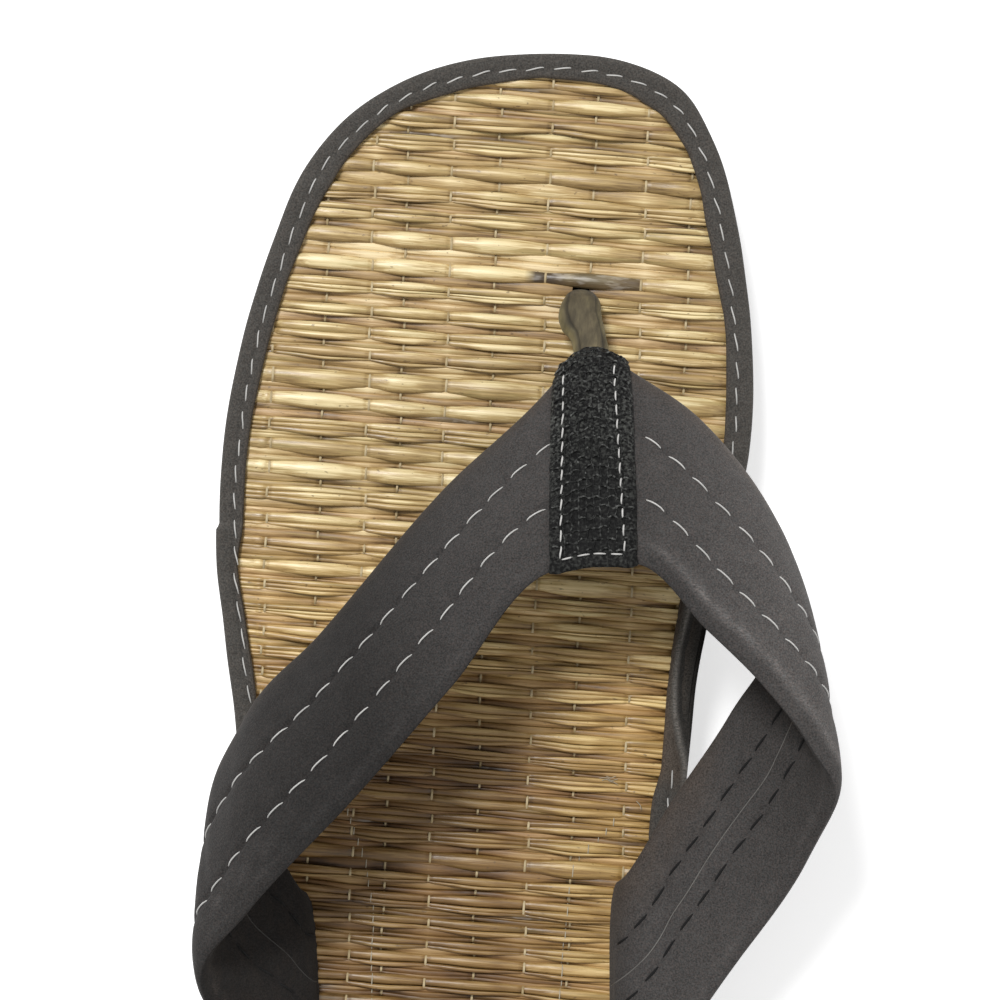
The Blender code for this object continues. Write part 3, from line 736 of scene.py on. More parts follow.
def near_tape(x, y):
    """1 under the tape's flap, 0 a little way inside it."""
    medial, lateral = sides_at(TAPE_INNER, y)
    inside = np.minimum(medial - x, x - lateral)
    return ease(1 - inside / TAPE_PRESS_REACH)


def slot_lines():
    """Each strap slot's two ends, front and rear, in plan."""
    lines = []
    for name in ("lateral slot", "medial slot"):
        row = np.array(STRAP[name][:6]).reshape(2, 3)[:, :2] * (BALL_WIDTH, LENGTH)
        row[:, 1] -= HEEL_BACK
        lines.append(row)
    return lines


def open_spans(y, left, right):
    """The stretches of a row that straw fills: it is cut at the strap slots and the thong's hole."""
    cuts = []
    for front, rear in slot_lines():
        along = (y - rear[1]) / (front[1] - rear[1])
        half = SLOT_PINCH * STRAP_THICKNESS / 2 * float(half_share(along)) - 0.0001
        if half > SLOT_LEAST:
            middle = rear[0] + along * (front[0] - rear[0])
            cuts.append((middle - half, middle + half))
    hole_x, hole_y = HOLE_PLACE
    across = 1 - ((y - hole_y) / (THONG_DEPTH * HOLE_SHARES[1])) ** 2
    if across > 0:
        reach = THONG_WIDTH * HOLE_SHARES[0] * math.sqrt(across)
        cuts.append((hole_x - reach, hole_x + reach))
    spans = []
    start = left
    for low, high in sorted(cuts):
        spans.append((start, low))
        start = high
    spans.append((start, right))
    return [(low, high) for low, high in spans if high - low > SPAN_LEAST]


def span_points(span, y, kind):
    """X of a strand's cross-sections, closer together at its own ties."""
    low, high = span
    count = max(2, int((high - low) / STRAND_STEP))
    ties = warps_at(y)[kind::2]
    wanted = np.concatenate([np.linspace(low, high, count + 1), (ties[:, None] + TIE_POINTS).ravel()])
    wanted = np.unique(wanted[(wanted >= low) & (wanted <= high)])
    kept = [low]
    for x in wanted:
        if x - kept[-1] > RING_LEAST:
            kept.append(x)
    kept[-1] = high
    return np.array(kept)


def strand_shares(random, row):
    """Where a row's strands part, as shares of its width. The one at the toe side is the widest."""
    kind, low, high, number = row
    if low == DARK_ROW[0]:
        return np.array([0.0, 1.0])
    odds = FINE_ODDS if high < FINE_BELOW else STRAND_ODDS[kind]
    count = random.choice((1, 2, 3), p=odds)
    sizes = random.uniform(0.5, 1.3, count)
    if kind == 0:
        sizes[-1] *= WIDEST_SHARE
    return np.concatenate([[0], np.cumsum(sizes) / sizes.sum()])


def strand_tone(random, row, x, weight):
    """The painted tone along a strand: one level for each stretch from tie to tie."""
    kind, low, high, number = row
    middle = (low + high) / 2
    stretch = np.searchsorted(warps_at(middle)[kind::2], x)
    levels = random.uniform(-0.08, 0.08, len(WARPS) + 1)[stretch]
    base = random.normal(*STRAND_BRIGHT[kind])
    # Painted shade in the dip beside the strand's own ties, and a painted highlight where it swells highest
    # between them
    beside = bell(tie_distance(x, middle, kind) - 0.0005, 0.00035)
    swell_highlight = 0.15 * bell(swing(x, middle) - 0.9 + 1.8 * kind, 0.9)
    bright = base + levels + weight - 0.11 * beside + swell_highlight + 0.07 * wander(x, 0.008, 1500 + number)
    # A dull strand is paler over the bright rows' warps: the warp shows through it, and a painted highlight
    # lies where it rises over the warp
    if kind == 1:
        bright += 0.10 * tie_nearness(x, middle, 0)
    pink = np.clip(random.normal(*STRAND_PINK[kind]), 0, 1)
    stain = np.zeros_like(x)
    if kind == 1 and random.random() < STAIN_ODDS:
        spot = random.uniform(-0.05, 0.035)
        stain = 0.75 * bell(x - spot, random.uniform(0.002, 0.007))
    if low == DARK_ROW[0]:
        stain = between(x, *DARK_STALK, 0.0010) * (0.85 + 0.15 * wander(x, 0.003, 17))
    own = np.full_like(x, random.random())
    return np.column_stack([bright, np.full_like(x, pink), own, stain])


def add_row(parts, row, random):
    """The strands of one row, cut at the strap's slots and at the thong's hole."""
    kind, low, high, number = row
    middle = (low + high) / 2
    right, left = sides_at(MAT_SIDES, middle)
    shares = strand_shares(random, row)
    turn = np.array(STRAND_SIDES)
    round_top = 1 - np.sqrt(1 - np.abs(turn) ** 2.3)
    toe_side, heel_side = np.clip(turn, 0, 1), np.clip(-turn, 0, 1)
    for order, (first, last) in enumerate(zip(shares[:-1], shares[1:])):
        seed = 2000 + 7 * number + order
        weight = random.uniform(-0.05, 0.05)
        drop = random.uniform(0, STRAND_DROP) if len(shares) > 2 else 0
        tone_state = random.integers(1 << 30)
        for span in open_spans(middle, left, right):
            x = span_points(span, middle, kind)
            rear, front = row_edges(row, x)
            at_first = first + (0.09 * wander(x, 0.013, seed) if order else 0)
            at_last = last + (0.09 * wander(x, 0.013, seed + 1) if order < len(shares) - 2 else 0)
            y_low = rear + at_first * (front - rear)
            y_high = rear + at_last * (front - rear)
            centre = (y_low + y_high) / 2
            half = (y_high - y_low) / 2 * STRAND_OVERLAP
            deep = np.minimum(half * STRAND_DEPTH[kind], STRAND_DEEPEST)
            top = row_height(row, x, centre) - drop
            y = centre[:, None] + half[:, None] * turn
            z = top[:, None] - deep[:, None] * round_top
            upper = np.stack([np.broadcast_to(x[:, None], y.shape), y, z], axis=-1)
            under = np.stack([x, centre, top - 1.7 * deep], axis=-1)[:, None]
            tone = strand_tone(np.random.default_rng(tone_state), row, x, weight)
            tone = np.repeat(tone[:, None], len(turn) + 1, axis=1)
            # Painted light on each strand's toe side, painted shade on its heel side and, on a dull row,
            # beside the swell of the bright row in front
            halfway = (1 + swing(x, middle))[:, None] / 2
            heel_shade = HEEL_SHADE[0] + HEEL_SHADE[1] * halfway * (1 - kind)
            lit = TOE_LIGHT[kind] * (LIT_SLOPE * turn - heel_shade * heel_side**2)
            if kind == 1 and order == len(shares) - 2:
                lit = lit - SWELL_SHADE * halfway**1.5 * toe_side**3
            tone[:, :-1, 0] += lit
            add_tube(parts, np.concatenate([upper, under], axis=1), tone)


def make_stalks():
    """All rows of stalks, each kind as one piece in the heel and one in the forefoot."""
    looks = (
        straw_look("bright_straw", 0.40, 0.38),
        straw_look("dull_straw", 0.50, 0.12),
    )
    groups = {}
    random = np.random.default_rng(5)
    for row in weave_rows():
        half = "forefoot" if row[1] > MAT_SPLIT else "heel"
        parts = groups.setdefault((row[0], half), new_parts())
        add_row(parts, row, random)
    for (kind, half), parts in groups.items():
        name = f"{('bright', 'dull')[kind]}_stalks_{half}"
        finish_piece(parts, name, looks[kind], ("straw_footbed",))


def make_core():
    """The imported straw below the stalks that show: the solid with its top let down."""
    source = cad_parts["straw_footbed"]
    mesh = source.data.copy()
    points = np.empty(len(mesh.vertices) * 3)
    mesh.vertices.foreach_get("co", points)
    points = points.reshape(-1, 3)
    top = deck(points[:, 1])
    upper = points[:, 2] > top - FOOTBED_THICKNESS / 2
    points[upper, 2] = top[upper] - CORE_DROP
    mesh.vertices.foreach_set("co", points.ravel())
    mesh.update()
    look, tree, shader = new_look("packed_straw", 0.8)
    fibre = noise(tree, (60, 2400, 2400), 3.0)
    colour = ramp(tree, fibre, ((0.3, (0.030, 0.017, 0.008)), (0.7, (0.130, 0.080, 0.034))))
    fill(tree, shader, {"Base Color": colour})
    bump(tree, shader, fibre, 0.8, 0.0004)
    mesh.materials.clear()
    mesh.materials.append(look)
    made = add_object("straw_core", mesh)
    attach(made, "root")
    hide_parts("straw_footbed")


def free_for_thread(x, y):
    """Whether a thread can lie on the mat there, clear of its edge, the slots and the hole."""
    for front, rear in slot_lines():
        beside = abs(x - np.interp(y, (rear[1], front[1]), (rear[0], front[0])))
        if rear[1] - 0.001 < y < front[1] + 0.001 and beside < 0.0028:
            return False
    right, left = sides_at(MAT_SIDES, y)
    return math.dist((x, y), HOLE_PLACE) > 0.0045 and left + 0.001 < x < right - 0.001


def thread_runs(place, kinds, span):
    """Stretches of a thread from heel to toe: over the rows of some kinds, under the others."""
    runs = [[]]
    for row in weave_rows():
        middle = (row[1] + row[2]) / 2
        x = place(middle)
        if not span[0] < middle < span[1] or not free_for_thread(x, middle):
            runs.append([])
            continue
        if row[0] not in kinds:
            runs[-1].append((x, middle, float(deck(middle)) - THREAD_BURIED))
            continue
        low, high = (float(edge[0]) for edge in row_edges(row, np.array([x])))
        top = float(row_height(row, np.array([x]), np.array([middle]))[0]) + THREAD_RISE
        for share in THREAD_SHARES:
            round_off = THREAD_BEND * (2 * abs(share - 0.5)) ** 2.8
            runs[-1].append((x, low + share * (high - low), top - round_off))
    return [run for run in runs if len(run) > 3]


def make_warps():
    """Thin threads from heel to toe, over the rows of one kind and under those of the other."""
    parts = new_parts()
    random = np.random.default_rng(23)
    for number in range(len(WARPS)):

        def place(y):
            return float(warps_at(y)[number] + 0.00030 * wander([y], 0.004, 4000 + number)[0])

        for run in thread_runs(place, (number % 2,), (-1, 1)):
            tone = (random.uniform(0.8, 1.0), 0, 0, 0)
            add_tube(parts, thread_sections(run, WARP_THREAD, (1, 0, 0), 6), tone)
    look, tree, shader = new_look("warp_thread", 0.6)
    dirt = noise(tree, 300, 2.0)
    base = mixed(tree, ranged(tree, dirt, 0.4, 0.7), (0.52, 0.42, 0.25), (0.34, 0.25, 0.12))
    fill(tree, shader, {"Base Color": base})
    bump(tree, shader, noise(tree, (3000, 1200, 3000), 1.0), 0.5, 0.0001)
    finish_piece(parts, "warp_threads", look)


# White basting threads, stitched over the rows: their points in plan, in millimetres
BASTING = (
    ((-22.4, 0.0), (-22.4, 40.0), (-22.6, 53.6), (-23.2, 62.0), (-23.9, 70.3), (-25.6, 77.0), (-30.3, 88.2)),
    ((12.4, 0.0), (12.3, 45.0), (12.2, 56.4), (12.0, 70.3), (12.2, 76.0), (13.0, 81.0), (21.0, 91.3)),
)
# Frayed ends lying on the straw, in millimetres
FRAYED = (
    ((16.4, 97.6), (17.4, 97.8), (18.6, 97.5), (19.8, 97.7)),
    ((16.9, 97.2), (17.8, 97.5), (18.8, 97.2), (19.9, 96.7)),
    ((17.6, 98.1), (18.6, 97.9), (19.4, 98.2)),
    ((23.6, 93.9), (24.3, 93.4), (24.6, 92.6)),
)
BASTING_RADIUS = 0.00010
FRAYED_RADIUS = 0.00007


def make_loose_threads(look):
    parts = new_parts()
    for number, points in enumerate(BASTING):
        way = np.array(points) / 1000

        def place(y):
            return float(np.interp(y, way[:, 1], way[:, 0]) + 0.0003 * wander([y], 0.003, number)[0])

        for run in thread_runs(place, (0, 1), (0, way[-1, 1])):
            add_tube(parts, thread_sections(run, BASTING_RADIUS, (1, 0, 0), 6))
    for number, points in enumerate(FRAYED):
        way = np.array(points) / 1000
        steps = lengths_along(way)
        at = np.linspace(0, steps[-1], 40)
        run = smooth(steps, way, at)
        run[:, 1] += 0.0001 * wander(at, 0.0008, 40 + number)
        z = deck(run[:, 1]) + 0.00030 + 0.0001 * wander(at, 0.002, 60 + number)
        add_tube(parts, thread_sections(np.column_stack([run, z]), FRAYED_RADIUS, (0, 0, 1), 6))
    finish_piece(parts, "loose_threads", look)


# The tape round the edge

TAPE_STATIONS = 1100
# How far the upper flap reaches in, on the medial and on the lateral side
FLAP_MEDIAL = (
    # Y, reach
    (0.030, 0.0052),
    (0.070, 0.0054),
    (0.088, 0.0062),
    (0.095, 0.0058),
    (0.100, 0.0049),
    (0.113, 0.0051),
    (0.123, 0.0055),
    (0.131, 0.0059),
    (0.150, 0.0050),
    (0.187, 0.0048),
    (0.194, 0.0053),
    (0.201, 0.0056),
    (0.208, 0.0053),
    (0.214, 0.0050),
    (0.221, 0.0056),
    (0.226, 0.0059),
    (0.229, 0.0057),
    (0.2315, 0.0048),
)
FLAP_LATERAL = (
    (0.030, 0.0050),
    (0.100, 0.0043),
    (0.117, 0.0042),
    (0.126, 0.0035),
    (0.132, 0.0034),
    (0.138, 0.0044),
    (0.152, 0.0046),
    (0.175, 0.0048),
    (0.194, 0.0051),
    (0.207, 0.0056),
    (0.214, 0.0053),
    (0.223, 0.0046),
    (0.2275, 0.0052),
    (0.2300, 0.0047),
    (0.2311, 0.0043),
    (0.2315, 0.0048),
)
TAPE_TOP = (0.94, 0.86, 0.78, 0.72, 0.66, 0.62, 0.58, 0.53, 0.48, 0.41, 0.33)  # of the reach
FOLD = (
    # Y, distance of the fold's ridge from the outer edge
    (0.0980, 0.0000),
    (0.1013, 0.0003),
    (0.1055, 0.0017),
    (0.1107, 0.0032),
    (0.1165, 0.0039),
    (0.1225, 0.0043),
    (0.1300, 0.0041),
    (0.1400, 0.0034),
    (0.1500, 0.0030),
)
FOLD_SPAN = (0.100, 0.146)
SPLICE_Y = 0.1395
SPLICE_RISE = 0.00060


def fold_ridge(y):
    return read_table(FOLD, y)


def tape_fold(points):
    """How much of the medial arch's fold there is at each station."""
    y = points[:, 1]
    return np.where(points[:, 0] > 0, between(y, *FOLD_SPAN, 0.005), 0.0)


def tape_splice(points):
    """The lateral overlap: a sharp step at its front end, fading out to the rear."""
    y = points[:, 1]
    step = ease((SPLICE_Y - y) / 0.0012) * ease((y - SPLICE_Y + 0.034) / 0.026)
    return np.where(points[:, 0] < 0, step, 0.0)


def tape_profile(inner):
    """Rows of inset, reference 1 above and 0 below, and lift, from the top flap's inner edge."""
    rows = [(inner, 1, -0.0002), (inner + 0.00012, 1, 0.0003), (inner - 0.0001, 1, TAPE_THICKNESS)]
    rows += [(share * inner, 1, TAPE_THICKNESS) for share in TAPE_TOP]
    for above, start, end in ((1, 0, math.pi / 2), (0, math.pi / 2, 0)):
        for turn in np.linspace(start, end, 6):
            inset, drop = TAPE_CORNER * (1 - math.sin(turn)), TAPE_CORNER * (1 - math.cos(turn))
            rows.append((inset, above, TAPE_THICKNESS - drop if above else drop - TAPE_THICKNESS))
    rows += [(0.0032, 0, -TAPE_THICKNESS), (TAPE_FLAP, 0, -TAPE_THICKNESS), (TAPE_FLAP, 0, 0)]
    rows += [(TAPE_THICKNESS, 0, 0), (TAPE_THICKNESS, 1, -0.0002)]
    return np.array(rows)


def tape_relief(at, inset, points):
    """Height added to the tape's top: the stitched channel, puckers, the fold and the splice."""
    pitch, dash = TAPE_STITCH
    hole = hole_distance(at, pitch, dash)
    fold = tape_fold(points)
    ridge = fold_ridge(points[:, 1])
    channel = bell(inset - TAPE_ROW, 0.00055) * (0.00016 + 0.00024 * bell(hole, HOLE_REACH)) * (1 - fold)
    pucker = 0.00008 * np.cos(2 * math.pi * (at - dash / 2) / pitch) * bell(inset - 0.0016, 0.0012)
    uneven = 0.00010 * mottle(at, inset * 1.5, 0.006, 31) + 0.00005 * mottle(at, inset, 0.0022, 32)
    outside = np.clip(ridge - inset, 0, None)
    slope = -0.55 * outside - 0.00035 * ease(outside / 0.0005)
    roll = 0.00045 * bell(inset - ridge - 0.0004, 0.0006)
    groove = -0.00045 * bell(inset - ridge - 0.0013, 0.0004)
    splice = SPLICE_RISE * 0.5 * tape_splice(points)
    return uneven + pucker - channel + fold * (slope + roll + groove) + splice


def make_tape(look, stitch_look):
    """The tape: a profile at each station of the edge, with its relief, its tone and its stitches."""
    points, inward, at, _ = edge_path(TAPE_STATIONS)
    toe_ripple = bell(points[:, 1] - 0.215, 0.014) * (points[:, 0] > 0.01)
    reach = [read_table(table, points[:, 1]) for table in (FLAP_MEDIAL, FLAP_LATERAL)]
    inner = np.where(points[:, 0] > points[np.argmax(points[:, 1]), 0], *reach)
    inner = inner + 0.00012 * wander(at, 0.007, 3) + 0.00035 * toe_ripple * wander(at, 0.005, 4)
    arch = tape_fold(points)
    outward = 0.00010 * wander(at, 0.009, 5) + SPLICE_RISE * tape_splice(points)
    profiles = np.array([tape_profile(value) for value in inner])
    inset, above, lift = profiles[..., 0], profiles[..., 1], profiles[..., 2]
    top = (above > 0.5) & (lift > 0)
    relief = np.stack(
        [tape_relief(at, inset[:, column], points) for column in range(inset.shape[1])], axis=1
    )
    share_out = np.clip(1 - inset / 0.0014, 0, 1)
    moved = inset - outward[:, None] * np.clip(1 - inset / TAPE_FLAP, 0, 1)
    plan = points[:, None] + inward[:, None] * moved[..., None]
    y = plan[..., 1]
    under = deck(y) - FOOTBED_THICKNESS - GAP
    z = np.where(above > 0.5, deck(y) + GAP + lift, under + lift)
    z = z + np.where(top, relief * (1 - 0.5 * share_out), 0)
    from_flap = inner[:, None] - inset
    z = z - 0.00050 * np.where(top, ease(1 - from_flap / 0.0016), 0)
    sections = np.concatenate([plan, z[..., None]], axis=-1)
    ridge = fold_ridge(points[:, 1])[:, None]
    fold = arch[:, None]
    # Painted highlight along the fold's ridge, partly the nap's rubbing, and a little on the rounded outer
    # edge; painted shade on the fold's outer slope
    rub_and_sheen = 1.10 * bell(inset - ridge - 0.0003, 0.0005) * fold + 0.10 * share_out * top
    dark = fold * ease((ridge - inset) / 0.0008) * 0.75
    seam = 0.25 * bell(points[:, 1] - SPLICE_Y, 0.0005) * (points[:, 0] < 0)
    warm = 0.35 * fold * ease((inset - ridge - 0.0008) / 0.0006) + 0.2 * ease(1 - from_flap / 0.0008)
    tone = np.stack([np.ones_like(inset), rub_and_sheen + seam[:, None], warm, dark], axis=-1)
    parts = new_parts()
    add_tube(parts, sections, tone, closed=True)
    finish_piece(parts, "tape", look, ("edge_binding",))
    make_tape_stitches(stitch_look)


def make_tape_stitches(look):
    """Stitches round the tape, left out where the fold of the medial arch hides them."""
    points, inward, at, length = edge_path(TAPE_STATIONS)
    pitch, dash = TAPE_STITCH
    random = np.random.default_rng(77)

    def surface(place, sideways, lift):
        near = np.stack([np.interp(place, at, points[:, axis]) for axis in (0, 1)], axis=-1)
        way = np.stack([np.interp(place, at, inward[:, axis]) for axis in (0, 1)], axis=-1)
        inset = TAPE_ROW + sideways
        plan = near + way * inset[:, None]
        z = deck(plan[:, 1]) + GAP + TAPE_THICKNESS + tape_relief(place, inset, near) + lift
        return np.column_stack([plan, z])

    parts = new_parts()
    for number in range(int(length / pitch)):
        start = number * pitch
        x, y = (np.interp(start + dash / 2, at, points[:, axis]) for axis in (0, 1))
        if x > 0 and FOLD_SPAN[0] - 0.001 < y < FOLD_SPAN[1]:
            continue
        shift = random.uniform(-0.0002, 0.0002)
        slant = 0.00018 + random.uniform(-0.0001, 0.0001)
        path = stitch_path(
            lambda place, sideways, lift: surface(place, sideways + shift, lift),
            start + random.uniform(-0.0002, 0.0002),
            start + dash + random.uniform(-0.0003, 0.0002),
            slant,
            0.00016,
        )
        add_tube(parts, thread_sections(path, THREAD * stitch_taper(), (0, 0, 1)))
    finish_piece(parts, "tape_stitches", look)


# The strap

STRAP_FINE = 26  # cross-sections from one row of the table to the next
POCKET_STEPS = 5
# How far the padding moves the strap's edges at its folds
FOLD_MOVES = (
    # place, reach, column of the edge's coordinate, distance
    (15.9, 0.6, 3, 0.0016),
    (18.4, 0.8, 3, -0.0011),
    (17.2, 1.0, 0, -0.0026),
    (15.9, 0.5, 0, -0.0018),
    (3.5, 1.0, 3, -0.0018),
    (3.5, 1.0, 4, -0.0014),
    (4.1, 0.4, 0, -0.0006),
    (4.2, 0.9, 7, -0.0010),
)


def strap_form():
    """Front and rear edge, normal, thickness and crown of the strap at closely spaced places."""
    table = np.array(list(STRAP.values()))
    rows = np.empty_like(table)
    for first in (0, 3):
        edge = table[:, first : first + 3] * (BALL_WIDTH, LENGTH, STRAP_RISE)
        edge[:, 1] -= HEEL_BACK
        edge[:, 2] += deck(edge[:, 1])
        rows[:, first : first + 3] = edge
    rows[:, 6] = table[:, 6] * STRAP_THICKNESS
    rows[:, 7] = table[:, 7] * STRAP_CROWN
    middle = (rows[:, 0:3] + rows[:, 3:6]) / 2
    keys = lengths_along(middle)
    places = np.arange((len(rows) - 1) * STRAP_FINE + 1) / STRAP_FINE
    read = smooth(keys, rows, np.interp(places, np.arange(len(rows)), keys))
    down = np.linspace(1, 0, POCKET_STEPS, endpoint=False)
    starts = np.repeat(read[:1], POCKET_STEPS, axis=0)
    ends = np.repeat(read[-1:], POCKET_STEPS, axis=0)
    floor = POCKET_FLOOR + GAP
    for column in (2, 5):
        starts[:, column] += (floor - starts[:, column]) * down
        ends[:, column] += (floor - ends[:, column]) * down[::-1]
    for place, reach, column, distance in FOLD_MOVES:
        read[:, column] += distance * bell(places - place, reach)
    read = np.concatenate([starts, read, ends])
    places = np.concatenate([-down, places, places[-1] + down[::-1]])
    front, rear = read[:, 0:3], read[:, 3:6]
    travel = np.gradient((front + rear) / 2, axis=0)
    travel[:POCKET_STEPS] = (0, 0, 1)
    travel[-POCKET_STEPS:] = (0, 0, -1)
    normal = unit(np.cross(rear - front, travel))
    for _ in range(6):
        normal[1:-1] = (normal[:-2] + 2 * normal[1:-1] + normal[2:]) / 4
    normal = unit(normal)
    return {"places": places, "rows": np.column_stack([read, normal])}


def strap_read(form, place):
    """The strap at any place: front edge, rear edge, normal, thickness and crown."""
    place = np.asarray(place, float)
    columns = [np.interp(place, form["places"], column) for column in form["rows"].T]
    rows = np.stack(columns, axis=-1)
    return rows[..., 0:3], rows[..., 3:6], rows[..., 8:11], rows[..., 6], rows[..., 7]


def half_share(across):
    """Half the strap's thickness across it: full in the middle, rolled at both edges."""
    return np.sqrt(np.clip(1 - np.abs(2 * across - 1) ** 4.2, 0, 1))


def strap_point(form, place, across, side, lift=0.0):
    """A point of the strap's top (side 1) or underside (side -1), lifted off it."""
    front, rear, normal, thickness, crown = strap_read(form, place)
    height = crown * 4 * across * (1 - across) + side * (half_share(across) * thickness / 2 + lift)
    return front + (rear - front) * np.asarray(across)[..., None] + normal * np.asarray(height)[..., None]


def stitch_row(side, number, place):
    """Where a stitched row lies across the strap at each place."""
    table = np.array(TOP_ROWS if side > 0 else UNDER_ROWS)
    return np.interp(place, table[:, 0], table[:, 1 + number])


def row_length(form, across, side):
    """Length along one stitched row up to each place of the form."""
    return lengths_along(strap_point(form, form["places"], across, side))


# Soft troughs and ridges, listed one by one: side, place, across, their half lengths along and across, the
# turn of the long way in degrees, and depth (a ridge is negative)
CREASES = (
    # side, place, across, long, wide, turn, depth
    (-1, 17.6, 0.20, 0.0050, 0.0009, 62, 0.00045),
    (-1, 18.9, 0.16, 0.0070, 0.0011, 20, 0.00035),
    (-1, 16.4, 0.80, 0.0060, 0.0010, -30, 0.00040),
    (-1, 4.1, 0.30, 0.0060, 0.0012, 40, 0.00045),
    (-1, 3.0, 0.75, 0.0070, 0.0012, -25, 0.00040),
    (1, 4.3, 0.55, 0.0090, 0.0016, 75, 0.00030),
    (1, 5.1, 0.30, 0.0080, 0.0014, 60, 0.00022),
    (1, 15.6, 0.60, 0.0090, 0.0016, -70, 0.00028),
    (1, 14.6, 0.90, 0.0070, 0.0012, -15, 0.00020),
    (1, 12.5, 0.55, 0.0060, 0.0014, 80, 0.00018),
    (1, 7.6, 0.57, 0.0060, 0.0014, 85, 0.00018),
)


def seam_line(run):
    """Where the lining's seam lies across the strap, a given length along it."""
    return UNDER_SEAM + 0.018 * wander(run, 0.010, 71)


def strap_relief(form, place, across, side, lengths):
    """Height added to the strap's face: stitched channels, creases and the seam of its lining."""
    front, rear, _, _, _ = strap_read(form, place)
    width = np.linalg.norm(rear - front, axis=-1)
    run = np.interp(place, form["places"], lengths["middle"])
    pitch, dash = STRAP_STITCH
    relief = np.zeros_like(across)
    for number in (0, 1):
        at = np.interp(place, form["places"], lengths[side, number])
        hole = hole_distance(at, pitch, dash)
        away = (across - stitch_row(side, number, place)) * width
        relief -= bell(away, 0.0010) * 0.00026
        relief -= bell(away, 0.00055) * 0.00034 * bell(hole, HOLE_REACH)
    between_rows = (stitch_row(side, 0, place) + stitch_row(side, 1, place)) / 2
    relief += 0.00018 * bell(across - between_rows, 0.11)
    relief += 0.00012 * mottle(run, across * width, 0.010, 51 + side)
    relief += 0.00005 * mottle(run, across * width, 0.0035, 61 + side)
    if side < 0:
        away = (across - seam_line(run)) * width
        relief += 0.00030 * ease((away + 0.0003) / 0.0006) * bell(np.clip(away, 0, None), 0.0035)
        relief -= 0.00022 * bell(away + 0.0004, 0.0005)
    for crease_side, crease_place, crease_across, long, wide, turn, depth in CREASES:
        if crease_side != side:
            continue
        x = run - np.interp(crease_place, form["places"], lengths["middle"])
        y = (across - crease_across) * width
        c, s = math.cos(math.radians(turn)), math.sin(math.radians(turn))
        relief -= depth * bell(x * c + y * s, long) * bell(y * c - x * s, wide)
    if side > 0:
        relief -= 0.00022 * bell((across - 0.925) * width, 0.0004) * between(place, 4.6, 7.9, 0.4)
    fade = ease(across / 0.06) * ease((1 - across) / 0.06)
    return relief * fade * between(place, 1.2, 19.8, 0.8)


# Stretches across the strap in which its stitched rows and the lining's seam run
TOP_BANDS = ((0.36, 0.48), (0.68, 0.77))
UNDER_BANDS = ((0.23, 0.33), (0.45, 0.49), (0.61, 0.66))


def strap_columns(bands):
    """Places across the strap, close together at its edges and where its stitched rows run."""
    turn = np.linspace(0, math.pi, 37)
    wanted = [(1 - np.cos(turn)) / 2]
    for low, high in bands:
        wanted.append(np.arange(low - 0.03, high + 0.03, 0.013))
    wanted = np.unique(np.round(np.concatenate(wanted), 4))
    kept = [0.0]
    for across in wanted[1:]:
        if across - kept[-1] > 0.008 or across < 0.02 or across > 0.98:
            kept.append(across)
    kept[-1] = 1.0
    return np.array(kept)


# Painted light and shade on the strap's top and on its lining, from one slot to the other: the lateral band
# darker, the medial one lighter
TOP_LIGHT_SHADE = (
    # place, lightness
    (0.0, 0.55),
    (4.8, 0.55),
    (5.6, 0.42),
    (6.3, 0.38),
    (7.2, 0.74),
    (8.0, 0.90),
    (12.0, 0.86),
    (14.0, 1.45),
    (17.0, 1.45),
    (21.0, 1.20),
)
LINING_LIGHT_SHADE = (
    (0.0, 0.25),
    (5.0, 0.30),
    (15.0, 0.55),
    (16.8, 0.78),
    (18.2, 1.00),
    (21.0, 1.00),
)
# Where the nap is lighter from rubbing, with painted highlights along the rolled edges and ridges
RUB_AND_SHEEN = (
    # side, across, reach, from and to which place, softness there, amount, how even
    (1, 0.905, 0.018, 12.5, 16.2, 0.6, 1.10, 0.35),
    (1, 0.895, 0.050, 12.5, 16.2, 0.6, 0.30, 0.0),
    (1, 0.945, 0.012, 4.6, 7.9, 0.4, 0.30, 0.0),
    (1, 0.850, 0.060, 4.4, 5.2, 0.3, 0.35, 0.0),
    (1, 0.012, 0.010, -2.0, 23.0, 1.0, 0.55, 1.0),
    (-1, 0.930, 0.030, -2.0, 23.0, 1.0, 0.30, 0.0),
    (-1, UNDER_SEAM + 0.006, 0.006, -2.0, 23.0, 1.0, 0.35, 0.0),
)


def strap_tone(place, across, side):
    """The nap's rubbing and painted highlights on the ridges and edges, brown near the lower ends, painted
    shade in the folds, and painted light and shade from band to band.
    """
    run = np.broadcast_to(place, across.shape)
    uneven = 0.5 + 0.5 * mottle(run * 9, across * 30, 1.0, 81)
    rub_and_sheen = 0.06 * uneven
    for rub_and_sheen_side, middle, reach, low, high, soft, amount, even in RUB_AND_SHEEN:
        if rub_and_sheen_side == side:
            nap = amount * bell(across - middle, reach) * between(place, low, high, soft)
            rub_and_sheen += nap * (even + (1 - even) * uneven)
    warm = np.full_like(across, 0.08)
    dark = np.zeros_like(across)
    if side > 0:
        warm += 0.25 * bell(across - 0.05, 0.06)
        # Painted shade on the medial band's rolled rear edge, beyond the ridge that catches the light
        dark += 0.35 * ease((across - 0.93) / 0.03) * between(place, 12.5, 16.2, 0.6)
    else:
        warm += 0.45 * ease(1 - across / 0.4) * between(place, 18.6, 21, 0.8) * (0.5 + 0.5 * uneven)
        warm += 0.30 * between(place, 0, 4.5, 1.0) * uneven
    # Painted light and shade from band to band
    bright = read_table(TOP_LIGHT_SHADE if side > 0 else LINING_LIGHT_SHADE, place)
    return np.stack([bright, rub_and_sheen, warm, dark], axis=-1)


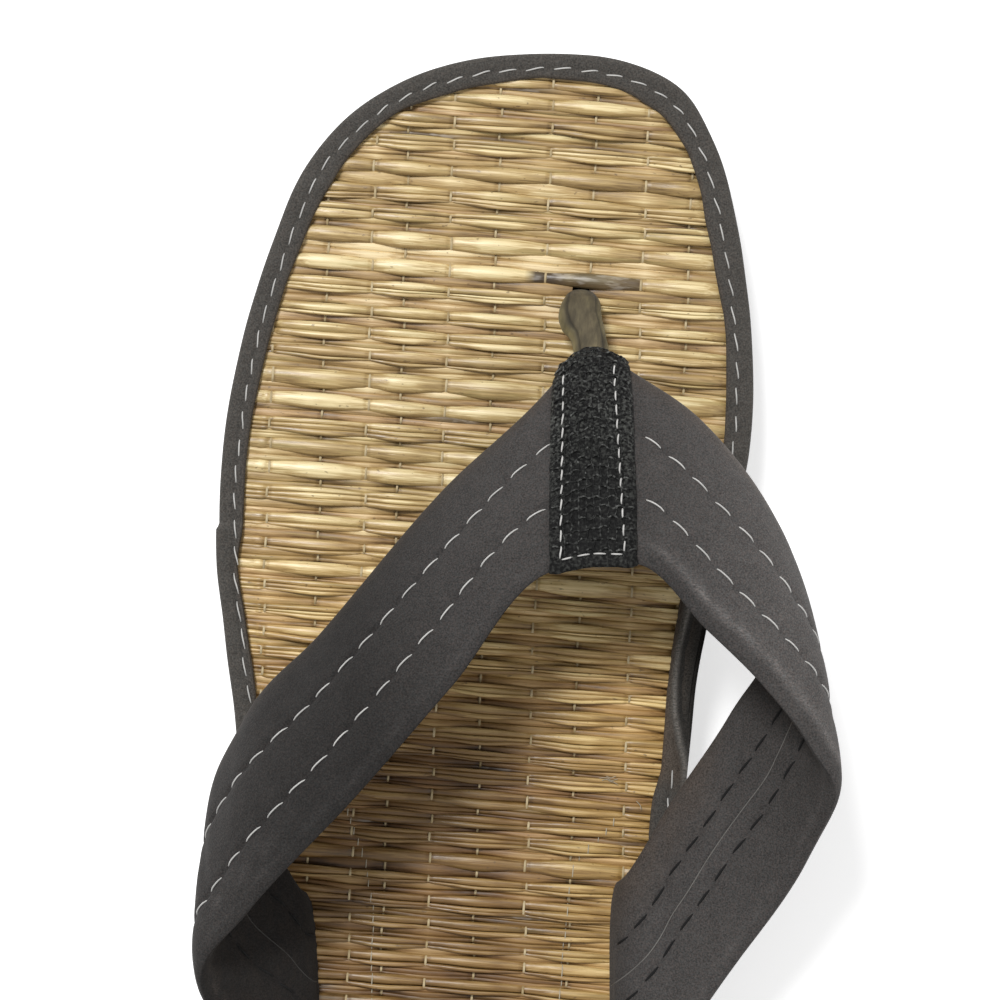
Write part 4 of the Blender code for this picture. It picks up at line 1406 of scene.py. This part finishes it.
def make_strap(form, lengths, look):
    """The strap's skin: its stitched top, and back over its lining."""
    places = form["places"]
    upper = strap_columns(TOP_BANDS)
    lower = strap_columns(UNDER_BANDS)[-2:0:-1]
    rings = []
    tones = []
    for side, columns in ((1, upper), (-1, lower)):
        place, across = np.meshgrid(places, columns, indexing="ij")
        lift = strap_relief(form, place, across, side, lengths)
        rings.append(strap_point(form, place, across, side, lift))
        tones.append(strap_tone(place, across, side))
    sections = np.concatenate(rings, axis=1)
    parts = new_parts()
    add_tube(parts, sections, np.concatenate(tones, axis=1))
    strap = finish_piece(parts, "strap", look, ("v_strap",))


def strap_stitches(form, lengths, side, number, span, look, name, slant, radius):
    """One row of stitches over a stretch of the strap, left out under the tab."""
    places = form["places"]
    pitch, dash = STRAP_STITCH
    along = lengths[side, number]
    random = np.random.default_rng(300 + 10 * number + side)
    parts = new_parts()

    def surface(at, sideways, lift):
        place = np.interp(at, along, places)
        front, rear, _, _, _ = strap_read(form, place)
        middle = stitch_row(side, number, place)
        shifted = middle + sideways / np.linalg.norm(rear - front, axis=-1)
        relief = strap_relief(form, place, shifted, side, lengths)
        return strap_point(form, place, shifted, side, relief + lift)

    first = int(np.interp(span[0], places, along) / pitch)
    last = int(np.interp(span[1], places, along) / pitch)
    for count in range(first, last):
        start = count * pitch
        inside = np.interp([start, start + dash], along, places)
        if side > 0 and inside[1] > TAB_PLACES[0] + 0.05 and inside[0] < TAB_PLACES[1] - 0.05:
            continue
        path = stitch_path(
            surface,
            start + random.uniform(-0.0003, 0.0003),
            start + dash + random.uniform(-0.0004, 0.0003),
            (slant if inside[0] < TAB_PLACES[0] else -slant) + random.uniform(-0.00009, 0.00009),
            0.00018,
        )
        _, _, normal, _, _ = strap_read(form, np.interp(start + dash / 2, along, places))
        add_tube(parts, thread_sections(path, radius * stitch_taper(), normal * side))
    finish_piece(parts, name, look)


def make_seam_edge(form, lengths, look):
    """The lining's cut edge: a thin pale line along the seam of the underside."""
    places = np.linspace(0.3, 20.8, 900)
    run = np.interp(places, form["places"], lengths["middle"])
    across = seam_line(run)
    relief = strap_relief(form, places, across, -1, lengths)
    path = strap_point(form, places, across, -1, relief + 0.00002)
    _, _, normal, _, _ = strap_read(form, places)
    parts = new_parts()
    # The lining's painted light and shade, carried on to its cut edge
    tone = grey_tone(read_table(LINING_LIGHT_SHADE, places))
    add_tube(parts, thread_sections(path, SEAM_EDGE, -normal, 6), tone)
    finish_piece(parts, "lining_edge", look)


# The tab that wraps the strap's front

TAB_PLACES = (7.983, 12.022)
TAB_SECTIONS = 64
TAB_UNDER = 0.16
TAB_BODY = 0.0010
TAB_RIM = 0.0005
TAB_SMOOTHING = 30
TAB_WIDTH = 0.0174
# From the tab's lateral and medial side to its stitches, at its rear and at its front
TAB_MARGINS = ((0.0023, 0.0029), (0.0028, 0.0042))
TAB_STITCHED = 0.745  # share of the tab's length that its two long rows reach
TAB_COLUMNS = 150
TAB_CROWDED = 0.35  # how much closer the sections lie at the tab's sides
TAB_END = 0.0026  # from the tab's rear end to its mesh
TAB_END_STITCH = 0.0030  # and to its stitches


def grow(outline, distance):
    """A closed outline in a plane moved outwards, corner by corner."""
    side = np.roll(outline, -1, axis=0) - outline
    side /= np.linalg.norm(side, axis=1)[:, None]
    after = np.column_stack([-side[:, 1], side[:, 0]])
    before = np.roll(after, 1, axis=0)
    mitre = np.clip(1 + np.sum(before * after, axis=1)[:, None], 0.5, None)
    return outline + np.asarray(distance)[:, None] * (before + after) / mitre


def tab_section(form, place):
    """The strap's outline at one place, in its own plane, with the plane's origin and axes."""
    front, rear, normal, thickness, crown = strap_read(form, place)
    width = np.linalg.norm(rear - front)
    columns = (1 - np.cos(np.linspace(0, math.pi, 61))) / 2
    arch = crown * 4 * columns * (1 - columns)
    half = half_share(columns) * thickness / 2
    top = np.column_stack([columns * width, arch + half])
    under = np.column_stack([columns * width, arch - half])
    outline = np.concatenate([top, under[-2:0:-1]])
    covered = list(range(60, -1, -1))
    covered += [-1 - number for number in range(int(np.searchsorted(columns, TAB_UNDER)))]
    return outline, covered, front, (rear - front) / width, normal


def tab_lattice(form):
    """Points of the tab's outer face: sections from side to side, each from rear edge round front."""
    crowded = (1 - np.cos(np.linspace(0, math.pi, TAB_SECTIONS))) / 2
    shares = crowded * TAB_CROWDED + (1 - TAB_CROWDED) * np.linspace(0, 1, TAB_SECTIONS)
    places = TAB_PLACES[0] + (TAB_PLACES[1] - TAB_PLACES[0]) * shares
    outer, inner = [], []
    for place in places:
        outline, covered, front, across, normal = tab_section(form, place)
        share = (place - TAB_PLACES[0]) / (TAB_PLACES[1] - TAB_PLACES[0])
        edge = min(share, 1 - share) * TAB_WIDTH
        rim = TAB_RIM * bell(edge - 0.0010, 0.0009) - TAB_BODY * 0.75 * bell(edge, 0.00035)
        count = len(outline)
        grown = grow(outline, np.full(count, 0.00012 + TAB_BODY + rim))[covered]
        close = grow(outline, np.full(count, 0.00006))[covered]
        outer.append(front + grown[:, :1] * across + grown[:, 1:] * normal)
        inner.append(front + close[:, :1] * across + close[:, 1:] * normal)
    outer = np.array(outer)
    for _ in range(TAB_SMOOTHING):
        outer[1:-1] = (outer[:-2] + 2 * outer[1:-1] + outer[2:]) / 4
    return outer, np.array(inner)


def lattice_point(grid, across, along):
    """A smooth point of a lattice, across and along from 0 to 1."""
    i = np.clip(np.asarray(across, float), 0, 1) * (grid.shape[0] - 1)
    j = np.clip(np.asarray(along, float), 0, 1) * (grid.shape[1] - 1)
    i0 = np.clip(np.floor(i).astype(int), 0, grid.shape[0] - 2)
    j0 = np.clip(np.floor(j).astype(int), 0, grid.shape[1] - 2)
    s, t = (i - i0)[..., None], (j - j0)[..., None]
    low = grid[i0, j0] * (1 - s) + grid[i0 + 1, j0] * s
    high = grid[i0, j0 + 1] * (1 - s) + grid[i0 + 1, j0 + 1] * s
    return low * (1 - t) + high * t


def lattice_normals(grid):
    normal = unit(np.cross(np.gradient(grid, axis=0), np.gradient(grid, axis=1)))
    if normal[grid.shape[0] // 2, grid.shape[1] // 4][2] < 0:
        normal = -normal
    return normal


def even_columns(grid, count):
    """The lattice read again at even distances along its middle section."""
    middle = grid[grid.shape[0] // 2]
    length = lengths_along(middle)
    at = np.interp(np.linspace(0, length[-1], count), length, np.linspace(0, 1, len(length)))
    rows = np.linspace(0, 1, grid.shape[0])
    across, along = np.meshgrid(rows, at, indexing="ij")
    return lattice_point(grid, across, along), length[-1]


def make_tab(form, base_look, weave_look, stitch_look):
    """The tab: a folded strip with a raised rim, its mesh and its stitches."""
    outer, inner = tab_lattice(form)
    outer, length = even_columns(outer, TAB_COLUMNS)
    inner, _ = even_columns(inner, TAB_COLUMNS)
    normals = lattice_normals(outer)
    column = np.arange(TAB_COLUMNS)
    ends = np.minimum(column, column[::-1]) * length / TAB_COLUMNS
    rim = 0.00045 * bell(ends - 0.0011, 0.0009) - 0.0007 * bell(ends, 0.0004)
    sides = np.minimum(np.linspace(0, 1, TAB_SECTIONS), np.linspace(1, 0, TAB_SECTIONS)) * TAB_WIDTH
    middle = ease((sides - 0.0022) / 0.0012)[:, None] * ease((ends - TAB_END) / 0.0012)[None]
    coarse = 0.00012 * mottle(np.arange(TAB_SECTIONS)[:, None] * 0.26, column * 0.3, 1.0, 91)
    outer = outer + normals * (rim[None] - 0.00018 * middle + coarse)[..., None]
    sections = np.concatenate([outer, inner[:, ::-1]], axis=1)
    fuzzy = 0.30 + 0.70 * ease((column / TAB_COLUMNS - 0.22) / 0.30)[None] + 0.30 * (1 - middle)
    tone = grey_tone(np.concatenate([fuzzy, np.zeros_like(fuzzy)], axis=1))
    parts = new_parts()
    add_tube(parts, sections, tone)
    finish_piece(parts, "tab", base_look, ("thong_tab",))
    make_tab_weave(outer, normals, length, weave_look)
    make_tab_stitches(outer, normals, length, stitch_look)


TAB_ROWS = 24
TAB_LINES = 9
TAB_WOVEN = 0.88  # share of the tab's length that shows the mesh

def add_cord(parts, grid, normals, across, along, lift, radius, bright):
    """A cord of the mesh, a little above the lattice."""
    normal = lattice_point(normals, across, along)
    path = lattice_point(grid, across, along) + normal * lift[:, None]
    add_tube(parts, thread_sections(path, radius, normal, 6), grey_tone(bright))


def make_tab_weave(grid, normals, length, look):
    """The open mesh: fuzzy crosswise cords held by thinner lengthwise ones."""
    margin = TAB_MARGINS[0][0] / TAB_WIDTH
    end_share = TAB_END / length
    random = np.random.default_rng(13)
    parts = new_parts()
    for number in range(TAB_ROWS):
        along = end_share + (TAB_WOVEN - end_share) * (number + 0.5) / TAB_ROWS
        across = np.linspace(0.04, 0.96, 150)
        wave = np.cos(math.pi * (across - margin) / (1 - 2 * margin) * TAB_LINES + math.pi * number)
        line = along + 0.0045 * wander(across, 0.09, 500 + number) + 0.006 * (across - 0.5)
        line = line + 0.0035 * wave
        lift = 0.00010 + 0.00013 * wave + 0.00005 * wander(across, 0.02, 560 + number)
        radius = 0.00019 + 0.00006 * wander(across, 0.025, 540 + number)
        # Painted highlight on each crosswise cord where the wave lifts it
        bright = np.clip(0.60 + 0.30 * wave + 0.45 * wander(across, 0.030, 580 + number), 0.1, 1.3)
        add_cord(parts, grid, normals, across, line, lift, radius, bright)
    for number in range(TAB_LINES):
        along = np.linspace(end_share, TAB_WOVEN, 230)
        line = margin + (1 - 2 * margin) * (number + 0.5) / TAB_LINES
        line = line + 0.016 * wander(along, 0.022, 600 + number)
        turn = math.pi * (along - end_share) / (TAB_WOVEN - end_share) * TAB_ROWS
        lift = 0.00004 - 0.00012 * np.cos(turn + math.pi * number)
        radius = 0.00016 + 0.00003 * random.uniform(-1, 1)
        bright = np.clip(0.38 + 0.50 * wander(along, 0.016, 640 + number), 0, 1)
        add_cord(parts, grid, normals, line, along, lift, radius, bright)
    finish_piece(parts, "tab_mesh", look)


def make_tab_stitches(grid, normals, length, look):
    end = TAB_END_STITCH / length
    pitch, dash = TAB_STITCH
    parts = new_parts()
    random = np.random.default_rng(19)

    def add_line(start, finish, distance):
        count = int(round(distance / pitch))
        for number in range(count):
            share = (number + np.array([0.1, 0.1 + dash / pitch]) + random.uniform(-0.05, 0.05)) / count

            def surface(at, sideways, lift):
                across = start[0] + (finish[0] - start[0]) * at
                along = start[1] + (finish[1] - start[1]) * at
                across = across + (sideways / TAB_WIDTH if start[1] != finish[1] else 0)
                point = lattice_point(grid, across, along)
                normal = lattice_point(normals, across, along)
                return point + normal * (lift + 0.00020)[:, None]

            slant = 0.00010 + random.uniform(-0.00007, 0.00007)
            path = stitch_path(surface, share[0], share[1], slant, 0.00020, 7)
            middle = lattice_point(normals, (start[0] + finish[0]) / 2, (start[1] + finish[1]) / 2)
            add_tube(parts, thread_sections(path, 1.1 * THREAD * stitch_taper(7), middle, 7))

    (left, left_front), (right, right_front) = np.array(TAB_MARGINS) / TAB_WIDTH
    reach = (TAB_STITCHED - end) * length
    add_line((left, end), (left_front, TAB_STITCHED), reach)
    add_line((1 - right, end), (1 - right_front, TAB_STITCHED + 0.01), reach)
    add_line((left, end), (1 - right, end), (1 - left - right) * TAB_WIDTH)
    finish_piece(parts, "tab_stitches", look)


# The thong

GROOVES = tuple(math.radians(turn) for turn in (48, 132, 228, 312))
GROOVE_DEPTH = 0.085  # as a share of the thong's radius
# Painted shade in the thong's grooves: how much darker they are
GROOVE_SHADE = 0.62
BULGE = (0.34, 0.42, 0.085)  # how much wider the thong is to one side, where along it and how far
THONG_SQUARE = 0.82  # power that squares its cross-section
THONG_ROUTE = (
    # across as a share of BALL_WIDTH, along as a share of LENGTH, height above the straw, size
    (0.062, 0.8275, -0.0077, 0.95),
    (0.062, 0.8275, 0.0000, 0.98),
    (0.063, 0.8220, 0.0036, 1.08),
    (0.068, 0.8140, 0.0054, 1.02),
    (0.076, 0.8060, 0.0068, 0.97),
    (0.083, 0.7970, 0.0082, 0.96),
    (0.091, 0.7830, 0.0098, 0.96),
    (0.097, 0.7660, 0.0110, 0.96),
    (0.100, 0.7500, 0.0124, 0.96),
)


def make_thong(look):
    """The thong: a squared tube with four grooves and a bulge where it bends."""
    table = np.array(THONG_ROUTE)
    route = np.column_stack([table[:, 0] * BALL_WIDTH, table[:, 1] * LENGTH - HEEL_BACK, table[:, 2]])
    route[:, 2] += deck(route[:, 1])
    steps = lengths_along(route)
    at = np.linspace(0, steps[-1], 90)
    middle = smooth(steps, route, at)
    size = smooth(steps, table[:, 3:], at)[:, 0]
    travel = unit(np.gradient(middle, axis=0))
    wide = unit(np.array((1.0, 0, 0)) - travel * travel[:, :1])
    deep = np.cross(travel, wide)
    turn = 2 * math.pi * np.arange(72) / 72
    flat_cos = np.sign(np.cos(turn)) * np.abs(np.cos(turn)) ** THONG_SQUARE
    flat_sin = np.sign(np.sin(turn)) * np.abs(np.sin(turn)) ** THONG_SQUARE
    share = at / steps[-1]
    bulge = 1 + BULGE[0] * bell(share - BULGE[1], BULGE[2])[:, None] * (flat_cos < 0)
    grooves = sum(bell((turn - place + math.pi) % (2 * math.pi) - math.pi, 0.10) for place in GROOVES)
    wrinkle = 0.00008 * mottle(share[:, None] * 26, turn * 1.2, 1.0, 8)
    radius = 1 - GROOVE_DEPTH * grooves[None] * ease((share[:, None] - 0.15) / 0.2)
    across = THONG_WIDTH / 2 * size[:, None] * flat_cos * bulge * radius + wrinkle
    through = THONG_DEPTH / 2 * size[:, None] * flat_sin * radius + wrinkle
    sections = middle[:, None] + across[..., None] * wide[:, None] + through[..., None] * deep[:, None]
    side = np.abs(np.cos(turn)) ** 6
    # Painted shade in the grooves
    bright = 1.0 - GROOVE_SHADE * grooves + 0.35 * side + 0.25 * bell(np.sin(turn) - 1.0, 0.03)
    uneven = 1 + 0.22 * mottle(share[:, None] * 34 + 3 * np.cos(turn), turn * 1.4, 1.0, 9)
    tone = grey_tone(bright * uneven)
    tone[..., 1] = 0.60 * side
    parts = new_parts()
    add_tube(parts, sections, tone)
    finish_piece(parts, "thong", look, ("toe_thong",))


# Stage


def make_stage():
    """A plain white floor, an even white sky and two soft lamps."""
    bpy.ops.mesh.primitive_plane_add(size=6.0, location=(0, 0, 0))
    floor = bpy.context.object
    floor.name = "floor"
    look, tree, shader = new_look("floor_white", 0.9)
    fill(tree, shader, {"Base Color": (0.93, 0.93, 0.93, 1), "Emission Color": (1.0, 1.0, 1.0, 1)})
    fill(tree, shader, {"Emission Strength": 0.45})
    floor.data.materials.append(look)

    world = bpy.data.worlds.new("studio")
    world.use_nodes = True
    sky = world.node_tree.nodes["Background"]
    fill(world.node_tree, sky, {"Color": (1.0, 1.0, 1.0, 1), "Strength": 0.50})
    bpy.context.scene.world = world

    def area(name, place, target, size, energy):
        data = bpy.data.lights.new(name, "AREA")
        data.shape = "DISK"
        data.size = size
        data.energy = energy
        lamp = add_object(name, data)
        lamp.location = place
        lamp.rotation_euler = (Vector(target) - Vector(place)).to_track_quat("-Z", "Y").to_euler()

    area("toe_light", (-0.42, 0.78, 1.35), (0, 0.13, 0), 0.40, 18)
    area("side_fill", (1.1, -0.4, 0.9), (0, 0.1, 0), 0.9, 3)


def make_camera():
    data = bpy.data.cameras.new("camera")
    data.sensor_width = SENSOR
    data.lens = LENS
    camera = add_object("camera", data)
    camera.location = CAMERA_PLACE
    camera.rotation_euler = (0, 0, math.radians(CAMERA_ROLL))
    bpy.context.scene.camera = camera


def dress_solids():
    """The outsole and the midsole keep their solids and take a look."""
    for name, look in (
        ("outsole", rubber_look("outsole_rubber_look", (0.035, 0.034, 0.033), 0.72, 2600)),
        ("midsole", rubber_look("midsole_foam_look", (0.062, 0.060, 0.057), 0.85, 4200)),
    ):
        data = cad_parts[name].data
        data.materials.clear()
        data.materials.append(look)


MAT_SIDES = plan_sides(MAT_INSET)
TAPE_INNER = plan_sides(MAT_PRESS)


def main():
    make_camera()
    make_stage()
    bpy.context.scene.view_settings.view_transform = "Standard"
    dress_solids()
    make_core()
    make_stalks()
    make_warps()
    white = thread_look("white_thread", (0.52, 0.51, 0.49), 0.6)
    black = thread_look("black_thread", (0.002, 0.002, 0.002), 0.9, 0.0)
    pale = thread_look("pale_edge", (0.150, 0.143, 0.132), 0.8, 0.0)
    make_loose_threads(thread_look("basting_thread", (0.44, 0.39, 0.29), 0.7))
    make_tape(microfibre_look("tape_microfibre", (0.060, 0.057, 0.052), (0.068, 0.061, 0.054)), white)
    strap_cloth = microfibre_look("strap_microfibre_look", (0.050, 0.050, 0.050), (0.060, 0.054, 0.052))
    form = strap_form()
    places = form["places"]
    lengths = {"middle": row_length(form, np.full_like(places, 0.5), 1)}
    for side in (1, -1):
        for number in (0, 1):
            lengths[side, number] = row_length(form, stitch_row(side, number, places), side)
    make_strap(form, lengths, strap_cloth)
    for side, span, look, face, slant, radius in (
        (1, (0.4, 20.6), white, "strap", 0.00014, THREAD),
        (-1, (0.2, 20.8), black, "lining", 0.00012, LINING_THREAD),
    ):
        for number, edge in enumerate(("front", "rear")):
            name = f"{face}_stitches_{edge}"
            strap_stitches(form, lengths, side, number, span, look, name, slant, radius)
    make_seam_edge(form, lengths, pale)
    make_tab(
        form,
        mesh_fabric_look("tab_base", (0.001, 0.001, 0.001), (0.062, 0.064, 0.058)),
        mesh_fabric_look("tab_cord", (0.004, 0.004, 0.004), (0.150, 0.153, 0.145)),
        white,
    )
    make_thong(suede_look("thong_suede_look"))


main()
